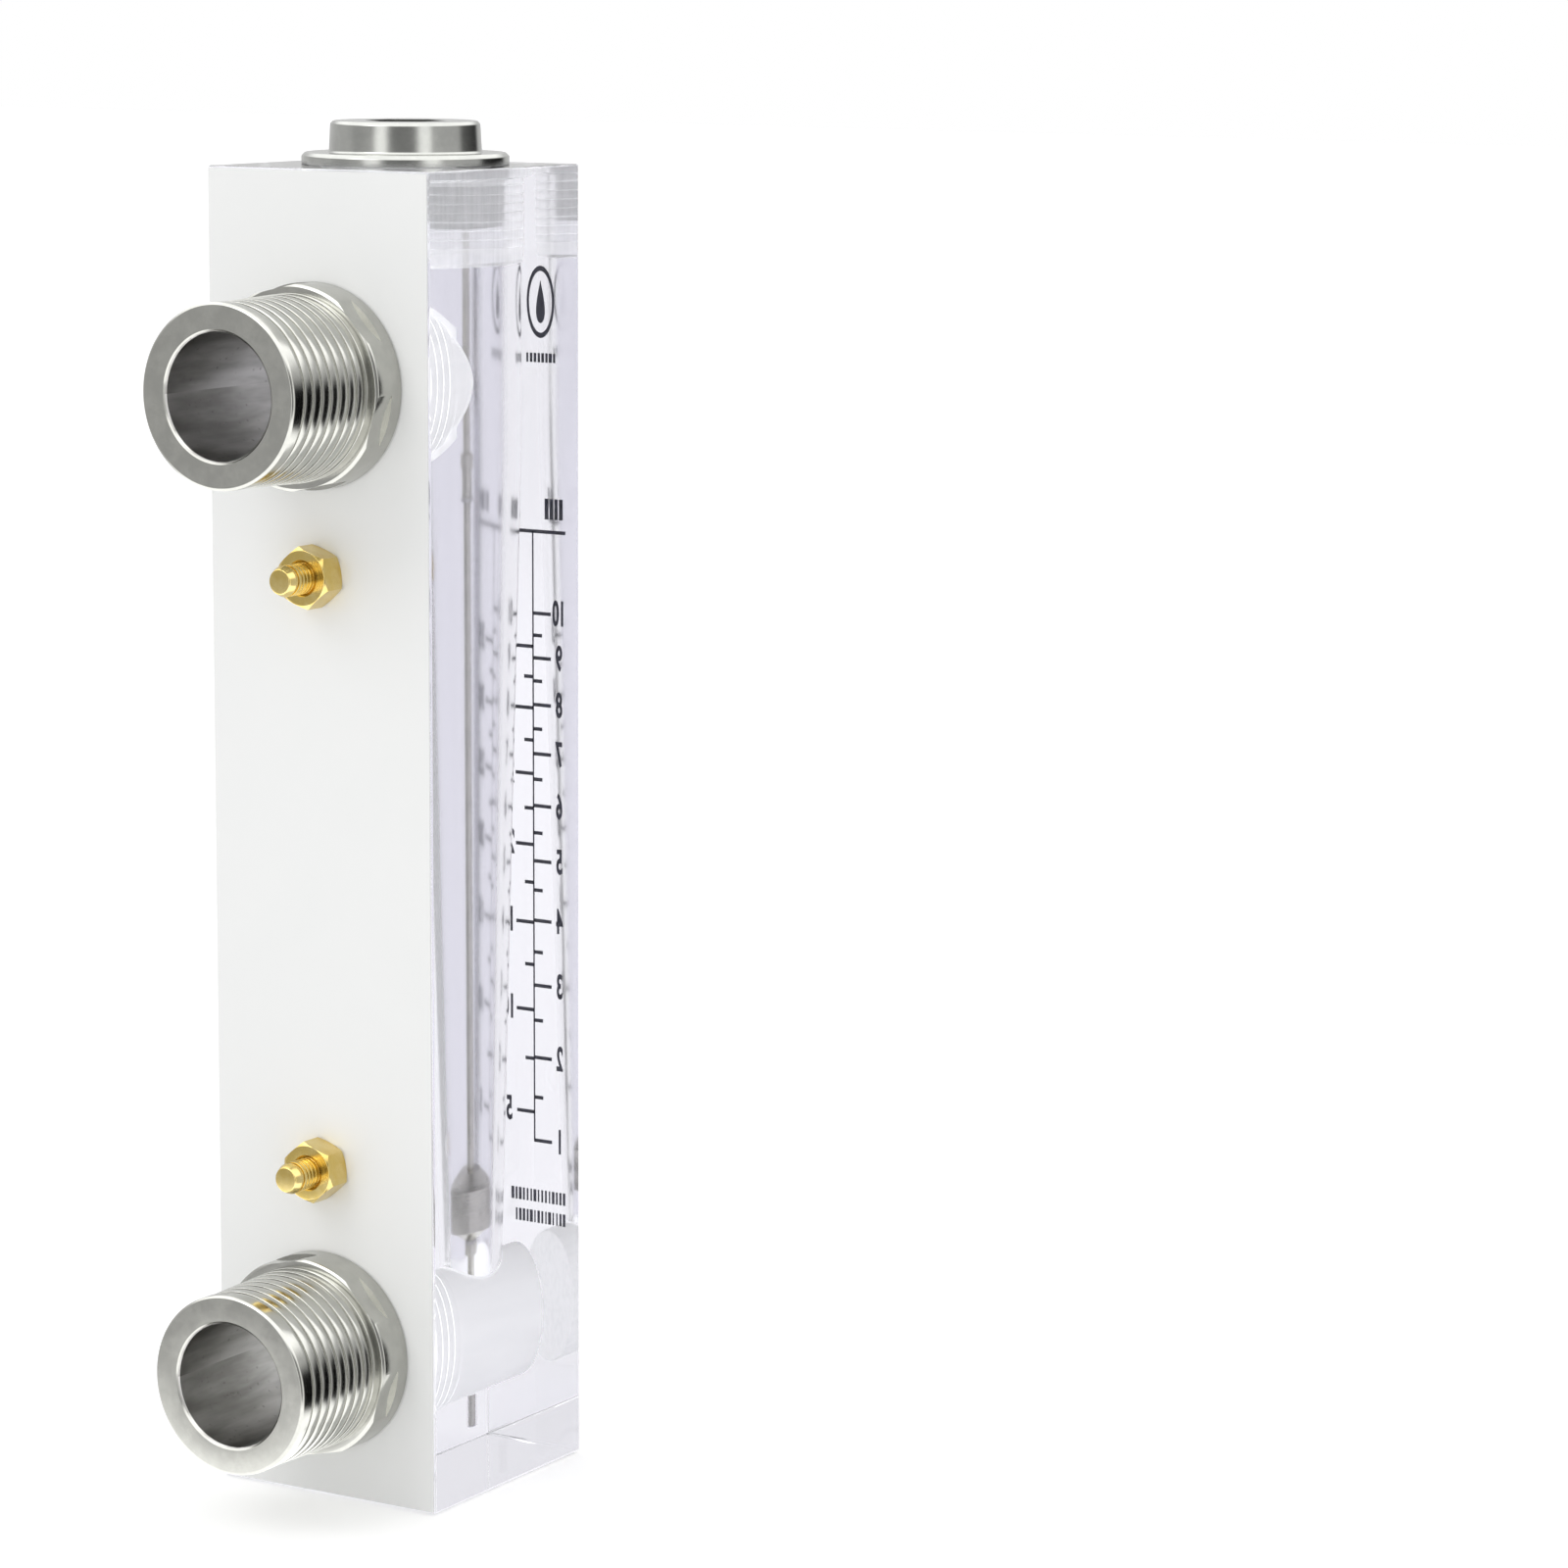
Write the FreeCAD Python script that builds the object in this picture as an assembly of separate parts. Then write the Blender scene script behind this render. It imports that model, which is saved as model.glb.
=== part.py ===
"""Clear block rotameter with two back ports, a top plug and a float on a guide rod.

Millimetres. The origin is the middle of the meter's bottom. +Z is up, the scale faces +Y,
and the ports and studs stand out of the back towards -Y.
"""
import FreeCAD, Part
import math
import os

V = FreeCAD.Vector

# Clear block and its white back sheet
BLOCK_WIDTH = 45.0
BLOCK_DEPTH = 44.7
BLOCK_HEIGHT = 226.8
BLOCK_EDGE_BREAK = 0.3
FILM_THICKNESS = 0.3

# Tapered flow bore: its axis lies ahead of the middle, and the taper starts at the inlet's axis
BORE_OFFSET = 3.3
BORE_SMALL_DIAMETER = 15.0
BORE_LARGE_DIAMETER = 27.6
BORE_TAPER_LENGTH = 155.0

# Ports drilled from the back: the inlet's axis over the bottom, the outlet's axis under the top
INLET_HEIGHT = 25.8
OUTLET_DROP = 35.8
PORT_DRILL_DIAMETER = 24.1
INLET_DRILL_DEPTH = 40.0
OUTLET_DRILL_DEPTH = 26.0
PORT_TAPPED_DEPTH = 15.5

# Seals squeezed flat between a counterbore and the metal above it
PORT_SEAL_INNER_DIAMETER = 26.8
PORT_SEAL_WIDTH = 2.4
PORT_SEAL_SEAT_DEPTH = 1.8
PLUG_SEAL_INNER_DIAMETER = 28.4
PLUG_SEAL_WIDTH = 2.2
PLUG_SEAL_SEAT_DEPTH = 2.0
SEAL_SEAT_ROOM = 0.2

# Steel fittings: inner thread, collar with six flats, outer taper pipe thread
FITTING_BORE_DIAMETER = 21.0
FITTING_INNER_THREAD_DIAMETER = 26.4
FITTING_INNER_LENGTH = 14.0
FITTING_COLLAR_DIAMETER = 34.5
FITTING_COLLAR_THICKNESS = 7.0
FITTING_COLLAR_FLATS = 33.3
FITTING_COLLAR_TURN = -17.0
FITTING_FLANGE_THICKNESS = 3.0
FITTING_EDGE_DROP = 0.5
TAPER_THREAD_DIAMETER = 33.2
TAPER_THREAD_LENGTH = 20.5
TAPER_THREAD_PITCH = 2.309
TAPER_THREAD_DEPTH = 1.35
TAPER_THREAD_SLOPE = 1.0 / 32.0
TAPER_THREAD_CREST = 0.3
TAPER_THREAD_ROOT = 0.2
TAPER_THREAD_END_CHAMFER = 1.2

# Top plug
PLUG_THREAD_DIAMETER = 30.0
PLUG_THREAD_LENGTH = 10.2
PLUG_NECK_DIAMETER = 28.2
PLUG_NECK_LENGTH = 2.6
PLUG_TAPPED_DEPTH = 16.0
PLUG_FLANGE_DIAMETER = 35.2
PLUG_FLANGE_THICKNESS = 2.0
PLUG_FLANGE_CHAMFER = 0.6
PLUG_HEAD_DIAMETER = 25.4
PLUG_HEAD_FLARE = 0.5
PLUG_HEAD_HEIGHT = 5.3
PLUG_HEAD_CHAMFER = 0.5
PLUG_SOCKET_FLATS = 12.0
PLUG_SOCKET_DEPTH = 6.0

# Guide rod and the stops on it
ROD_DIAMETER = 2.6
ROD_SEAT_DEPTH = 6.0
ROD_PLUG_DEPTH = 6.0
ROD_CHAMFER = 0.3
STOP_SLEEVE_DIAMETER = 3.6
STOP_SLEEVE_LENGTH = 5.2
STOP_COLLAR_DIAMETER = 4.6
STOP_COLLAR_THICKNESS = 2.4
LOWER_STOP_THICKNESS = 2.0
BUMPER_DIAMETER = 4.4
BUMPER_THICKNESS = 0.6

# Float
FLOAT_DIAMETER = 15.4
FLOAT_BAND_HEIGHT = 7.3
FLOAT_SHOULDER_HEIGHT = 2.2
FLOAT_CROWN_DIAMETER = 7.4
FLOAT_NOSE_HEIGHT = 2.8
FLOAT_NOSE_DIAMETER = 5.0
FLOAT_REST_HEIGHT = 40.7
FLOAT_TRAVEL = 116.4
FLOAT_STOP_GAP = 0.1
FLOAT_RUNNING_CLEARANCE = 0.08

# Brass studs and nuts for mounting on a panel: one stud over the inlet's axis, one under the outlet's
STUD_DIAMETER = 6.0
STUD_PROJECTION = 11.1
STUD_DEPTH = 9.0
STUD_TIP_DIAMETER = 4.2
STUD_TIP_LENGTH = 1.2
STUD_INNER_CHAMFER = 0.6
LOWER_STUD_RISE = 31.9
UPPER_STUD_DROP = 31.8
NUT_FLATS = 9.3
NUT_THICKNESS = 5.0
NUT_TURN = 10.0
NUT_CORNER_DROP = 0.55

# Clearances
THREAD_CLEARANCE = 0.05
SNUG_CLEARANCE = 0.02
FILM_HOLE_CLEARANCE = 0.2
DRILL_POINT_ANGLE = 118.0

# Places worked out from the sizes above
FILM_BACK = -(BLOCK_DEPTH + FILM_THICKNESS) / 2.0
BLOCK_BACK = FILM_BACK + FILM_THICKNESS
OUTLET_HEIGHT = BLOCK_HEIGHT - OUTLET_DROP
PORT_HEIGHTS = (INLET_HEIGHT, OUTLET_HEIGHT)
STUD_HEIGHTS = (INLET_HEIGHT + LOWER_STUD_RISE, OUTLET_HEIGHT - UPPER_STUD_DROP)
PORT_FLOOR = INLET_HEIGHT - PORT_DRILL_DIAMETER / 2.0
ROD_BOTTOM = PORT_FLOOR - ROD_SEAT_DEPTH
PLUG_BOTTOM = BLOCK_HEIGHT - PLUG_THREAD_LENGTH
ROD_TOP = PLUG_BOTTOM + ROD_PLUG_DEPTH
FLOAT_HEIGHT = FLOAT_NOSE_HEIGHT + FLOAT_BAND_HEIGHT + FLOAT_SHOULDER_HEIGHT
LOWER_BUMPER_TOP = FLOAT_REST_HEIGHT - FLOAT_STOP_GAP
UPPER_BUMPER_BOTTOM = FLOAT_REST_HEIGHT + FLOAT_HEIGHT + FLOAT_TRAVEL + FLOAT_STOP_GAP
PORT_SEAL_HEIGHT = PORT_SEAL_SEAT_DEPTH + FILM_THICKNESS
PORT_SEAT_DIAMETER = PORT_SEAL_INNER_DIAMETER + 2.0 * (PORT_SEAL_WIDTH + SEAL_SEAT_ROOM)
PLUG_SEAT_DIAMETER = PLUG_SEAL_INNER_DIAMETER + 2.0 * (PLUG_SEAL_WIDTH + SEAL_SEAT_ROOM)


def revolve(points):
    """Turn an outline, given as (radius, height) corners, once round the Z axis."""
    corners = [V(radius, 0, height) for radius, height in points]
    outline = Part.makePolygon(corners + corners[:1])
    return Part.Face(outline).revolve(V(0, 0, 0), V(0, 0, 1), 360)


def cylinder(diameter, bottom, top):
    """A cylinder on the Z axis."""
    return Part.makeCylinder(diameter / 2.0, top - bottom, V(0, 0, bottom))


def hexagon(flats, bottom, top, turn=0.0):
    """A hexagonal bar on the Z axis, with a corner towards +Y before it is turned."""
    corner = flats / math.sqrt(3.0)
    angles = [math.radians(90.0 + turn + 60.0 * step) for step in range(6)]
    corners = [V(corner * math.cos(a), corner * math.sin(a), bottom) for a in angles]
    outline = Part.makePolygon(corners + corners[:1])
    return Part.Face(outline).extrude(V(0, 0, top - bottom))


def face_back(shape, height, seat=FILM_BACK):
    """Lay a shape built along +Z so that it points to -Y from the seat, at the given height."""
    placed = shape.copy()
    placed.rotate(V(0, 0, 0), V(1, 0, 0), 90)
    placed.translate(V(0, seat, height))
    return placed


def on_bore(shape):
    """Move a shape built round the Z axis onto the axis of the flow bore."""
    placed = shape.copy()
    placed.translate(V(0, BORE_OFFSET, 0))
    return placed


def drill_point(diameter, depth):
    """The cone that a drill leaves below the given depth, pointing down."""
    height = diameter / 2.0 / math.tan(math.radians(DRILL_POINT_ANGLE / 2.0))
    return Part.makeCone(0, diameter / 2.0, height, V(0, 0, -depth - height))


def port_hole(drill_depth):
    """The room for one port, with its mouth at height 0 and its depth towards -Z."""
    thread = FITTING_INNER_THREAD_DIAMETER + 2.0 * THREAD_CLEARANCE
    hole = cylinder(PORT_DRILL_DIAMETER, -drill_depth, 0)
    hole = hole.fuse(cylinder(thread, -PORT_TAPPED_DEPTH, 0))
    return hole.fuse(cylinder(PORT_SEAT_DIAMETER, -PORT_SEAL_SEAT_DEPTH, 0))


def stud_hole():
    """The tapped hole for one stud, with its mouth at height 0."""
    diameter = STUD_DIAMETER + 2.0 * THREAD_CLEARANCE
    depth = STUD_DEPTH - FILM_THICKNESS
    return cylinder(diameter, -depth, 0).fuse(drill_point(diameter, depth))


def flow_bore():
    """The tapered bore, the plain length over it, the plug's tapped hole and the rod's seat."""
    taper_top = INLET_HEIGHT + BORE_TAPER_LENGTH
    tapped_bottom = BLOCK_HEIGHT - PLUG_TAPPED_DEPTH
    thread = PLUG_THREAD_DIAMETER + 2.0 * THREAD_CLEARANCE
    seat_bottom = BLOCK_HEIGHT - PLUG_SEAL_SEAT_DEPTH
    bore = revolve([
        (0, INLET_HEIGHT),
        (BORE_SMALL_DIAMETER / 2.0, INLET_HEIGHT),
        (BORE_LARGE_DIAMETER / 2.0, taper_top),
        (BORE_LARGE_DIAMETER / 2.0, tapped_bottom),
        (thread / 2.0, tapped_bottom),
        (thread / 2.0, seat_bottom),
        (PLUG_SEAT_DIAMETER / 2.0, seat_bottom),
        (PLUG_SEAT_DIAMETER / 2.0, BLOCK_HEIGHT),
        (0, BLOCK_HEIGHT),
    ])
    rod_hole = cylinder(ROD_DIAMETER + 2.0 * SNUG_CLEARANCE, ROD_BOTTOM, INLET_HEIGHT)
    return bore.fuse(rod_hole)


def meter_block():
    """The clear block with every hole that is machined in it."""
    corner = V(-BLOCK_WIDTH / 2.0, BLOCK_BACK, 0)
    block = Part.makeBox(BLOCK_WIDTH, BLOCK_DEPTH, BLOCK_HEIGHT, corner)
    block = block.makeChamfer(BLOCK_EDGE_BREAK, block.Edges)
    block = block.cut(on_bore(flow_bore()))
    for height, depth in zip(PORT_HEIGHTS, (INLET_DRILL_DEPTH, OUTLET_DRILL_DEPTH)):
        block = block.cut(face_back(port_hole(depth), height, BLOCK_BACK))
    for height in STUD_HEIGHTS:
        block = block.cut(face_back(stud_hole(), height, BLOCK_BACK))
    return block


def back_film():
    """The opaque white sheet on the back, with holes for the ports and the studs."""
    width = BLOCK_WIDTH - 2.0 * BLOCK_EDGE_BREAK
    height = BLOCK_HEIGHT - 2.0 * BLOCK_EDGE_BREAK
    corner = V(-width / 2.0, FILM_BACK, BLOCK_EDGE_BREAK)
    film = Part.makeBox(width, FILM_THICKNESS, height, corner)
    for port in PORT_HEIGHTS:
        hole = cylinder(PORT_SEAT_DIAMETER, -FILM_THICKNESS, 0)
        film = film.cut(face_back(hole, port))
    for stud in STUD_HEIGHTS:
        hole = cylinder(STUD_DIAMETER + 2.0 * FILM_HOLE_CLEARANCE, -FILM_THICKNESS, 0)
        film = film.cut(face_back(hole, stud))
    return film


def taper_thread():
    """The outer taper thread from the collar's face at height 0: a core with a helical ridge."""
    base_radius = TAPER_THREAD_DIAMETER / 2.0 - TAPER_THREAD_DEPTH
    start = -TAPER_THREAD_PITCH
    end = TAPER_THREAD_LENGTH + TAPER_THREAD_PITCH
    radius_at_start = base_radius - start * TAPER_THREAD_SLOPE
    radius_at_end = base_radius - end * TAPER_THREAD_SLOPE
    core = Part.makeCone(radius_at_start, radius_at_end, end - start, V(0, 0, start))
    lead = math.degrees(math.atan(TAPER_THREAD_SLOPE))
    helix = Part.makeHelix(TAPER_THREAD_PITCH, end - start, radius_at_start, -lead)
    helix.translate(V(0, 0, start))
    foot = (TAPER_THREAD_PITCH - TAPER_THREAD_ROOT) / 2.0
    crest = TAPER_THREAD_CREST / 2.0
    buried = 0.3
    corners = [
        V(radius_at_start - buried, 0, start - foot),
        V(radius_at_start, 0, start - foot),
        V(radius_at_start + TAPER_THREAD_DEPTH, 0, start - crest),
        V(radius_at_start + TAPER_THREAD_DEPTH, 0, start + crest),
        V(radius_at_start, 0, start + foot),
        V(radius_at_start - buried, 0, start + foot),
    ]
    outline = Part.makePolygon(corners + corners[:1])
    ridge = Part.Wire(helix.Edges).makePipeShell([outline], True, True)
    return core.fuse(ridge)


def thread_envelope():
    """The plain form that the taper thread is turned to, with the chamfer at its end."""
    radius = TAPER_THREAD_DIAMETER / 2.0 + TAPER_THREAD_PITCH
    end_radius = TAPER_THREAD_DIAMETER / 2.0 - TAPER_THREAD_LENGTH * TAPER_THREAD_SLOPE
    return revolve([
        (0, 0),
        (radius, 0),
        (radius, TAPER_THREAD_LENGTH - TAPER_THREAD_END_CHAMFER),
        (end_radius, TAPER_THREAD_LENGTH - TAPER_THREAD_END_CHAMFER),
        (end_radius - TAPER_THREAD_END_CHAMFER, TAPER_THREAD_LENGTH),
        (0, TAPER_THREAD_LENGTH),
    ])


def collar():
    """The fitting's collar: a round flange on the back sheet, with six shallow flats on the part over it."""
    radius = FITTING_COLLAR_DIAMETER / 2.0
    drop = FITTING_EDGE_DROP * math.tan(math.radians(30.0))
    flange = cylinder(FITTING_COLLAR_DIAMETER + FITTING_EDGE_DROP, 0, FITTING_FLANGE_THICKNESS)
    bar = hexagon(FITTING_COLLAR_FLATS, 0, FITTING_COLLAR_THICKNESS, FITTING_COLLAR_TURN)
    disc = revolve([
        (0, 0),
        (radius - FITTING_EDGE_DROP, 0),
        (radius, drop),
        (radius, FITTING_COLLAR_THICKNESS - drop),
        (radius - FITTING_EDGE_DROP, FITTING_COLLAR_THICKNESS),
        (0, FITTING_COLLAR_THICKNESS),
    ])
    return disc.common(flange.fuse(bar))


def fitting():
    """One steel fitting along +Z, with its seat on the back sheet at height 0."""
    thread = taper_thread().common(thread_envelope())
    thread.translate(V(0, 0, FITTING_COLLAR_THICKNESS))
    spigot = cylinder(FITTING_INNER_THREAD_DIAMETER, -FITTING_INNER_LENGTH, 0)
    tip = FITTING_COLLAR_THICKNESS + TAPER_THREAD_LENGTH
    body = collar().fuse(spigot).fuse(thread)
    body = body.cut(cylinder(FITTING_BORE_DIAMETER, -FITTING_INNER_LENGTH, tip))
    return body.removeSplitter()


def top_plug():
    """The plug with its thread, neck, flange and round head, on the Z axis."""
    thread = PLUG_THREAD_DIAMETER / 2.0
    neck = PLUG_NECK_DIAMETER / 2.0
    flange = PLUG_FLANGE_DIAMETER / 2.0
    head = PLUG_HEAD_DIAMETER / 2.0
    flange_top = BLOCK_HEIGHT + PLUG_FLANGE_THICKNESS
    head_top = flange_top + PLUG_HEAD_HEIGHT
    entry = (PLUG_THREAD_DIAMETER - PLUG_NECK_DIAMETER) / 2.0
    body = revolve([
        (0, PLUG_BOTTOM),
        (neck, PLUG_BOTTOM),
        (thread, PLUG_BOTTOM + entry),
        (thread, BLOCK_HEIGHT - PLUG_NECK_LENGTH - entry),
        (neck, BLOCK_HEIGHT - PLUG_NECK_LENGTH),
        (neck, BLOCK_HEIGHT),
        (flange, BLOCK_HEIGHT),
        (flange, flange_top - PLUG_FLANGE_CHAMFER),
        (flange - PLUG_FLANGE_CHAMFER, flange_top),
        (head + PLUG_HEAD_FLARE / 2.0, flange_top),
        (head, head_top - PLUG_HEAD_CHAMFER),
        (head - PLUG_HEAD_CHAMFER, head_top),
        (0, head_top),
    ])
    body = body.cut(hexagon(PLUG_SOCKET_FLATS, head_top - PLUG_SOCKET_DEPTH, head_top))
    rod_hole = cylinder(ROD_DIAMETER + 2.0 * SNUG_CLEARANCE, PLUG_BOTTOM, ROD_TOP)
    return on_bore(body.cut(rod_hole))


def squeezed_ring(inner_diameter, width, height):
    """A seal ring from height 0 up, its section rounded at the sides and flat on both seats."""
    inner = inner_diameter / 2.0
    flat = min(width, height) / 4.0
    bulge = width / 2.0 - flat
    middle = inner + width / 2.0
    low_inner = V(middle - flat, 0, 0)
    low_outer = V(middle + flat, 0, 0)
    high_outer = V(middle + flat, 0, height)
    high_inner = V(middle - flat, 0, height)
    outer_side = V(middle + flat + bulge, 0, height / 2.0)
    inner_side = V(middle - flat - bulge, 0, height / 2.0)
    outline = Part.Wire([
        Part.makeLine(low_inner, low_outer),
        Part.Arc(low_outer, outer_side, high_outer).toShape(),
        Part.makeLine(high_outer, high_inner),
        Part.Arc(high_inner, inner_side, low_inner).toShape(),
    ])
    return Part.Face(outline).revolve(V(0, 0, 0), V(0, 0, 1), 360)


def plug_o_ring():
    """The seal round the plug's neck, under its flange."""
    ring = squeezed_ring(PLUG_SEAL_INNER_DIAMETER, PLUG_SEAL_WIDTH, PLUG_SEAL_SEAT_DEPTH)
    ring.translate(V(0, 0, BLOCK_HEIGHT - PLUG_SEAL_SEAT_DEPTH))
    return on_bore(ring)


def port_o_ring(height):
    """The seal round one fitting's inner thread, under its collar."""
    ring = squeezed_ring(PORT_SEAL_INNER_DIAMETER, PORT_SEAL_WIDTH, PORT_SEAL_HEIGHT)
    ring.translate(V(0, 0, -PORT_SEAL_HEIGHT))
    return face_back(ring, height)


def guide_rod():
    """The rod from its blind seat in the block up into the plug."""
    radius = ROD_DIAMETER / 2.0
    return on_bore(revolve([
        (0, ROD_BOTTOM),
        (radius - ROD_CHAMFER, ROD_BOTTOM),
        (radius, ROD_BOTTOM + ROD_CHAMFER),
        (radius, ROD_TOP - ROD_CHAMFER),
        (radius - ROD_CHAMFER, ROD_TOP),
        (0, ROD_TOP),
    ]))


def ring_on_rod(diameter, bottom, thickness):
    """A plain ring that fits snugly on the rod."""
    ring = cylinder(diameter, bottom, bottom + thickness)
    hole = cylinder(ROD_DIAMETER + 2.0 * SNUG_CLEARANCE, bottom, bottom + thickness)
    return on_bore(ring.cut(hole))


def upper_float_stop():
    """The sleeve that ends the float's travel, with a collar at its top."""
    bottom = UPPER_BUMPER_BOTTOM + BUMPER_THICKNESS
    sleeve = ring_on_rod(STOP_SLEEVE_DIAMETER, bottom, STOP_SLEEVE_LENGTH)
    ring = ring_on_rod(STOP_COLLAR_DIAMETER, bottom + STOP_SLEEVE_LENGTH, STOP_COLLAR_THICKNESS)
    return sleeve.fuse(ring).removeSplitter()


def lower_float_stop():
    """The collar on the rod under the float."""
    top = LOWER_BUMPER_TOP - BUMPER_THICKNESS
    return ring_on_rod(STOP_COLLAR_DIAMETER, top - LOWER_STOP_THICKNESS, LOWER_STOP_THICKNESS)


def float_body():
    """The turned float: conical nose, straight metering band and sloped shoulder."""
    radius = FLOAT_DIAMETER / 2.0
    nose_top = FLOAT_REST_HEIGHT + FLOAT_NOSE_HEIGHT
    band_top = nose_top + FLOAT_BAND_HEIGHT
    crown = band_top + FLOAT_SHOULDER_HEIGHT
    hole = ROD_DIAMETER / 2.0 + FLOAT_RUNNING_CLEARANCE
    return on_bore(revolve([
        (hole, FLOAT_REST_HEIGHT),
        (FLOAT_NOSE_DIAMETER / 2.0, FLOAT_REST_HEIGHT),
        (radius, nose_top),
        (radius, band_top),
        (FLOAT_CROWN_DIAMETER / 2.0, crown),
        (hole, crown),
    ]))


def stud(height):
    """One brass stud, from its blind hole out to its tapered tip."""
    radius = STUD_DIAMETER / 2.0
    body = revolve([
        (0, -STUD_DEPTH),
        (radius - STUD_INNER_CHAMFER, -STUD_DEPTH),
        (radius, -STUD_DEPTH + STUD_INNER_CHAMFER),
        (radius, STUD_PROJECTION - STUD_TIP_LENGTH),
        (STUD_TIP_DIAMETER / 2.0, STUD_PROJECTION),
        (0, STUD_PROJECTION),
    ])
    return face_back(body, height)


def stud_nut(height):
    """One hexagon nut with both faces turned down at the corners."""
    corner = NUT_FLATS / math.sqrt(3.0)
    flat = NUT_FLATS / 2.0
    disc = revolve([
        (0, 0),
        (flat - SNUG_CLEARANCE, 0),
        (corner, NUT_CORNER_DROP),
        (corner, NUT_THICKNESS - NUT_CORNER_DROP),
        (flat - SNUG_CLEARANCE, NUT_THICKNESS),
        (0, NUT_THICKNESS),
    ])
    nut = hexagon(NUT_FLATS, 0, NUT_THICKNESS, NUT_TURN).common(disc)
    hole = cylinder(STUD_DIAMETER + 2.0 * THREAD_CLEARANCE, 0, NUT_THICKNESS)
    return face_back(nut.cut(hole), height)


def build():
    """All pieces by name."""
    lower_stud_height, upper_stud_height = STUD_HEIGHTS
    upper_bumper = ring_on_rod(BUMPER_DIAMETER, UPPER_BUMPER_BOTTOM, BUMPER_THICKNESS)
    lower_bumper = ring_on_rod(BUMPER_DIAMETER, LOWER_BUMPER_TOP - BUMPER_THICKNESS, BUMPER_THICKNESS)
    return {
        "meter_block": meter_block(),
        "back_film": back_film(),
        "top_plug": top_plug(),
        "plug_o_ring": plug_o_ring(),
        "guide_rod": guide_rod(),
        "upper_float_stop": upper_float_stop(),
        "upper_bumper": upper_bumper,
        "lower_float_stop": lower_float_stop(),
        "lower_bumper": lower_bumper,
        "float": float_body(),
        "outlet_fitting": face_back(fitting(), OUTLET_HEIGHT),
        "inlet_fitting": face_back(fitting(), INLET_HEIGHT),
        "outlet_o_ring": port_o_ring(OUTLET_HEIGHT),
        "inlet_o_ring": port_o_ring(INLET_HEIGHT),
        "upper_stud": stud(upper_stud_height),
        "lower_stud": stud(lower_stud_height),
        "upper_stud_nut": stud_nut(upper_stud_height),
        "lower_stud_nut": stud_nut(lower_stud_height),
    }


os.makedirs("parts", exist_ok=True)
for node, shape in build().items():
    shape.exportStep(f"parts/{node}.step")
    print(node, "volume", round(shape.Volume, 1), "valid", shape.isValid(), "solids", len(shape.Solids))
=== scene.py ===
"""The looks of a clear block rotameter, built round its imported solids.

Metres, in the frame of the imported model: +Z is up the flow bore, the scale faces +Y, and the ports and the
studs stand out of the back towards -Y. Each class is one sub-assembly or one finish, and main() builds them.
"""
import logging
import math
from dataclasses import dataclass
from enum import Enum

import bmesh
import bpy
from mathutils import Matrix, Vector


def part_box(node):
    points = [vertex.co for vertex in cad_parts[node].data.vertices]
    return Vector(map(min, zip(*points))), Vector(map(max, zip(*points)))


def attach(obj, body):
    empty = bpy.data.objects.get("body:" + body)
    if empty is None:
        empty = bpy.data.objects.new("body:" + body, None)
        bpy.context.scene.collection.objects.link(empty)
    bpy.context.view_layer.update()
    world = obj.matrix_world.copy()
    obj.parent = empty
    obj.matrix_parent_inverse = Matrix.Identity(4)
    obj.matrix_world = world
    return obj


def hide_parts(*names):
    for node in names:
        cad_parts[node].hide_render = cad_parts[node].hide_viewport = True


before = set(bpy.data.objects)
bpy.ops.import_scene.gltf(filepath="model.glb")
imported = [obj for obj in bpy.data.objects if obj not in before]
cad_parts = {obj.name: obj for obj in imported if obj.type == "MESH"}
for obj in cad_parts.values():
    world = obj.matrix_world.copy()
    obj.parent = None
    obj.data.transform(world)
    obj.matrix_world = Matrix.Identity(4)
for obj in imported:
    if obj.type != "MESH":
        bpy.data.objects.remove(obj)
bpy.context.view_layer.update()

log = logging.getLogger("rotameter")

MM = 0.001
ON_AXIS = 1e-6
BODY = "meter"
FLOAT_BODY = "float"
# The least angle of a sharp edge in degrees, on the block and the float, and on the other metal pieces.
SHARP_SMOOTH = 20.0
SHARP_THREADED = 24.0
# The plug's thread starts above the plug's foot and ends below the block's top, in millimetres.
PLUG_THREAD_FOOT = 0.3
PLUG_THREAD_STOP = 2.9
UP = Vector((0.0, 0.0, 1.0))
OUT_OF_BACK = Vector((0.0, -1.0, 0.0))


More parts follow.
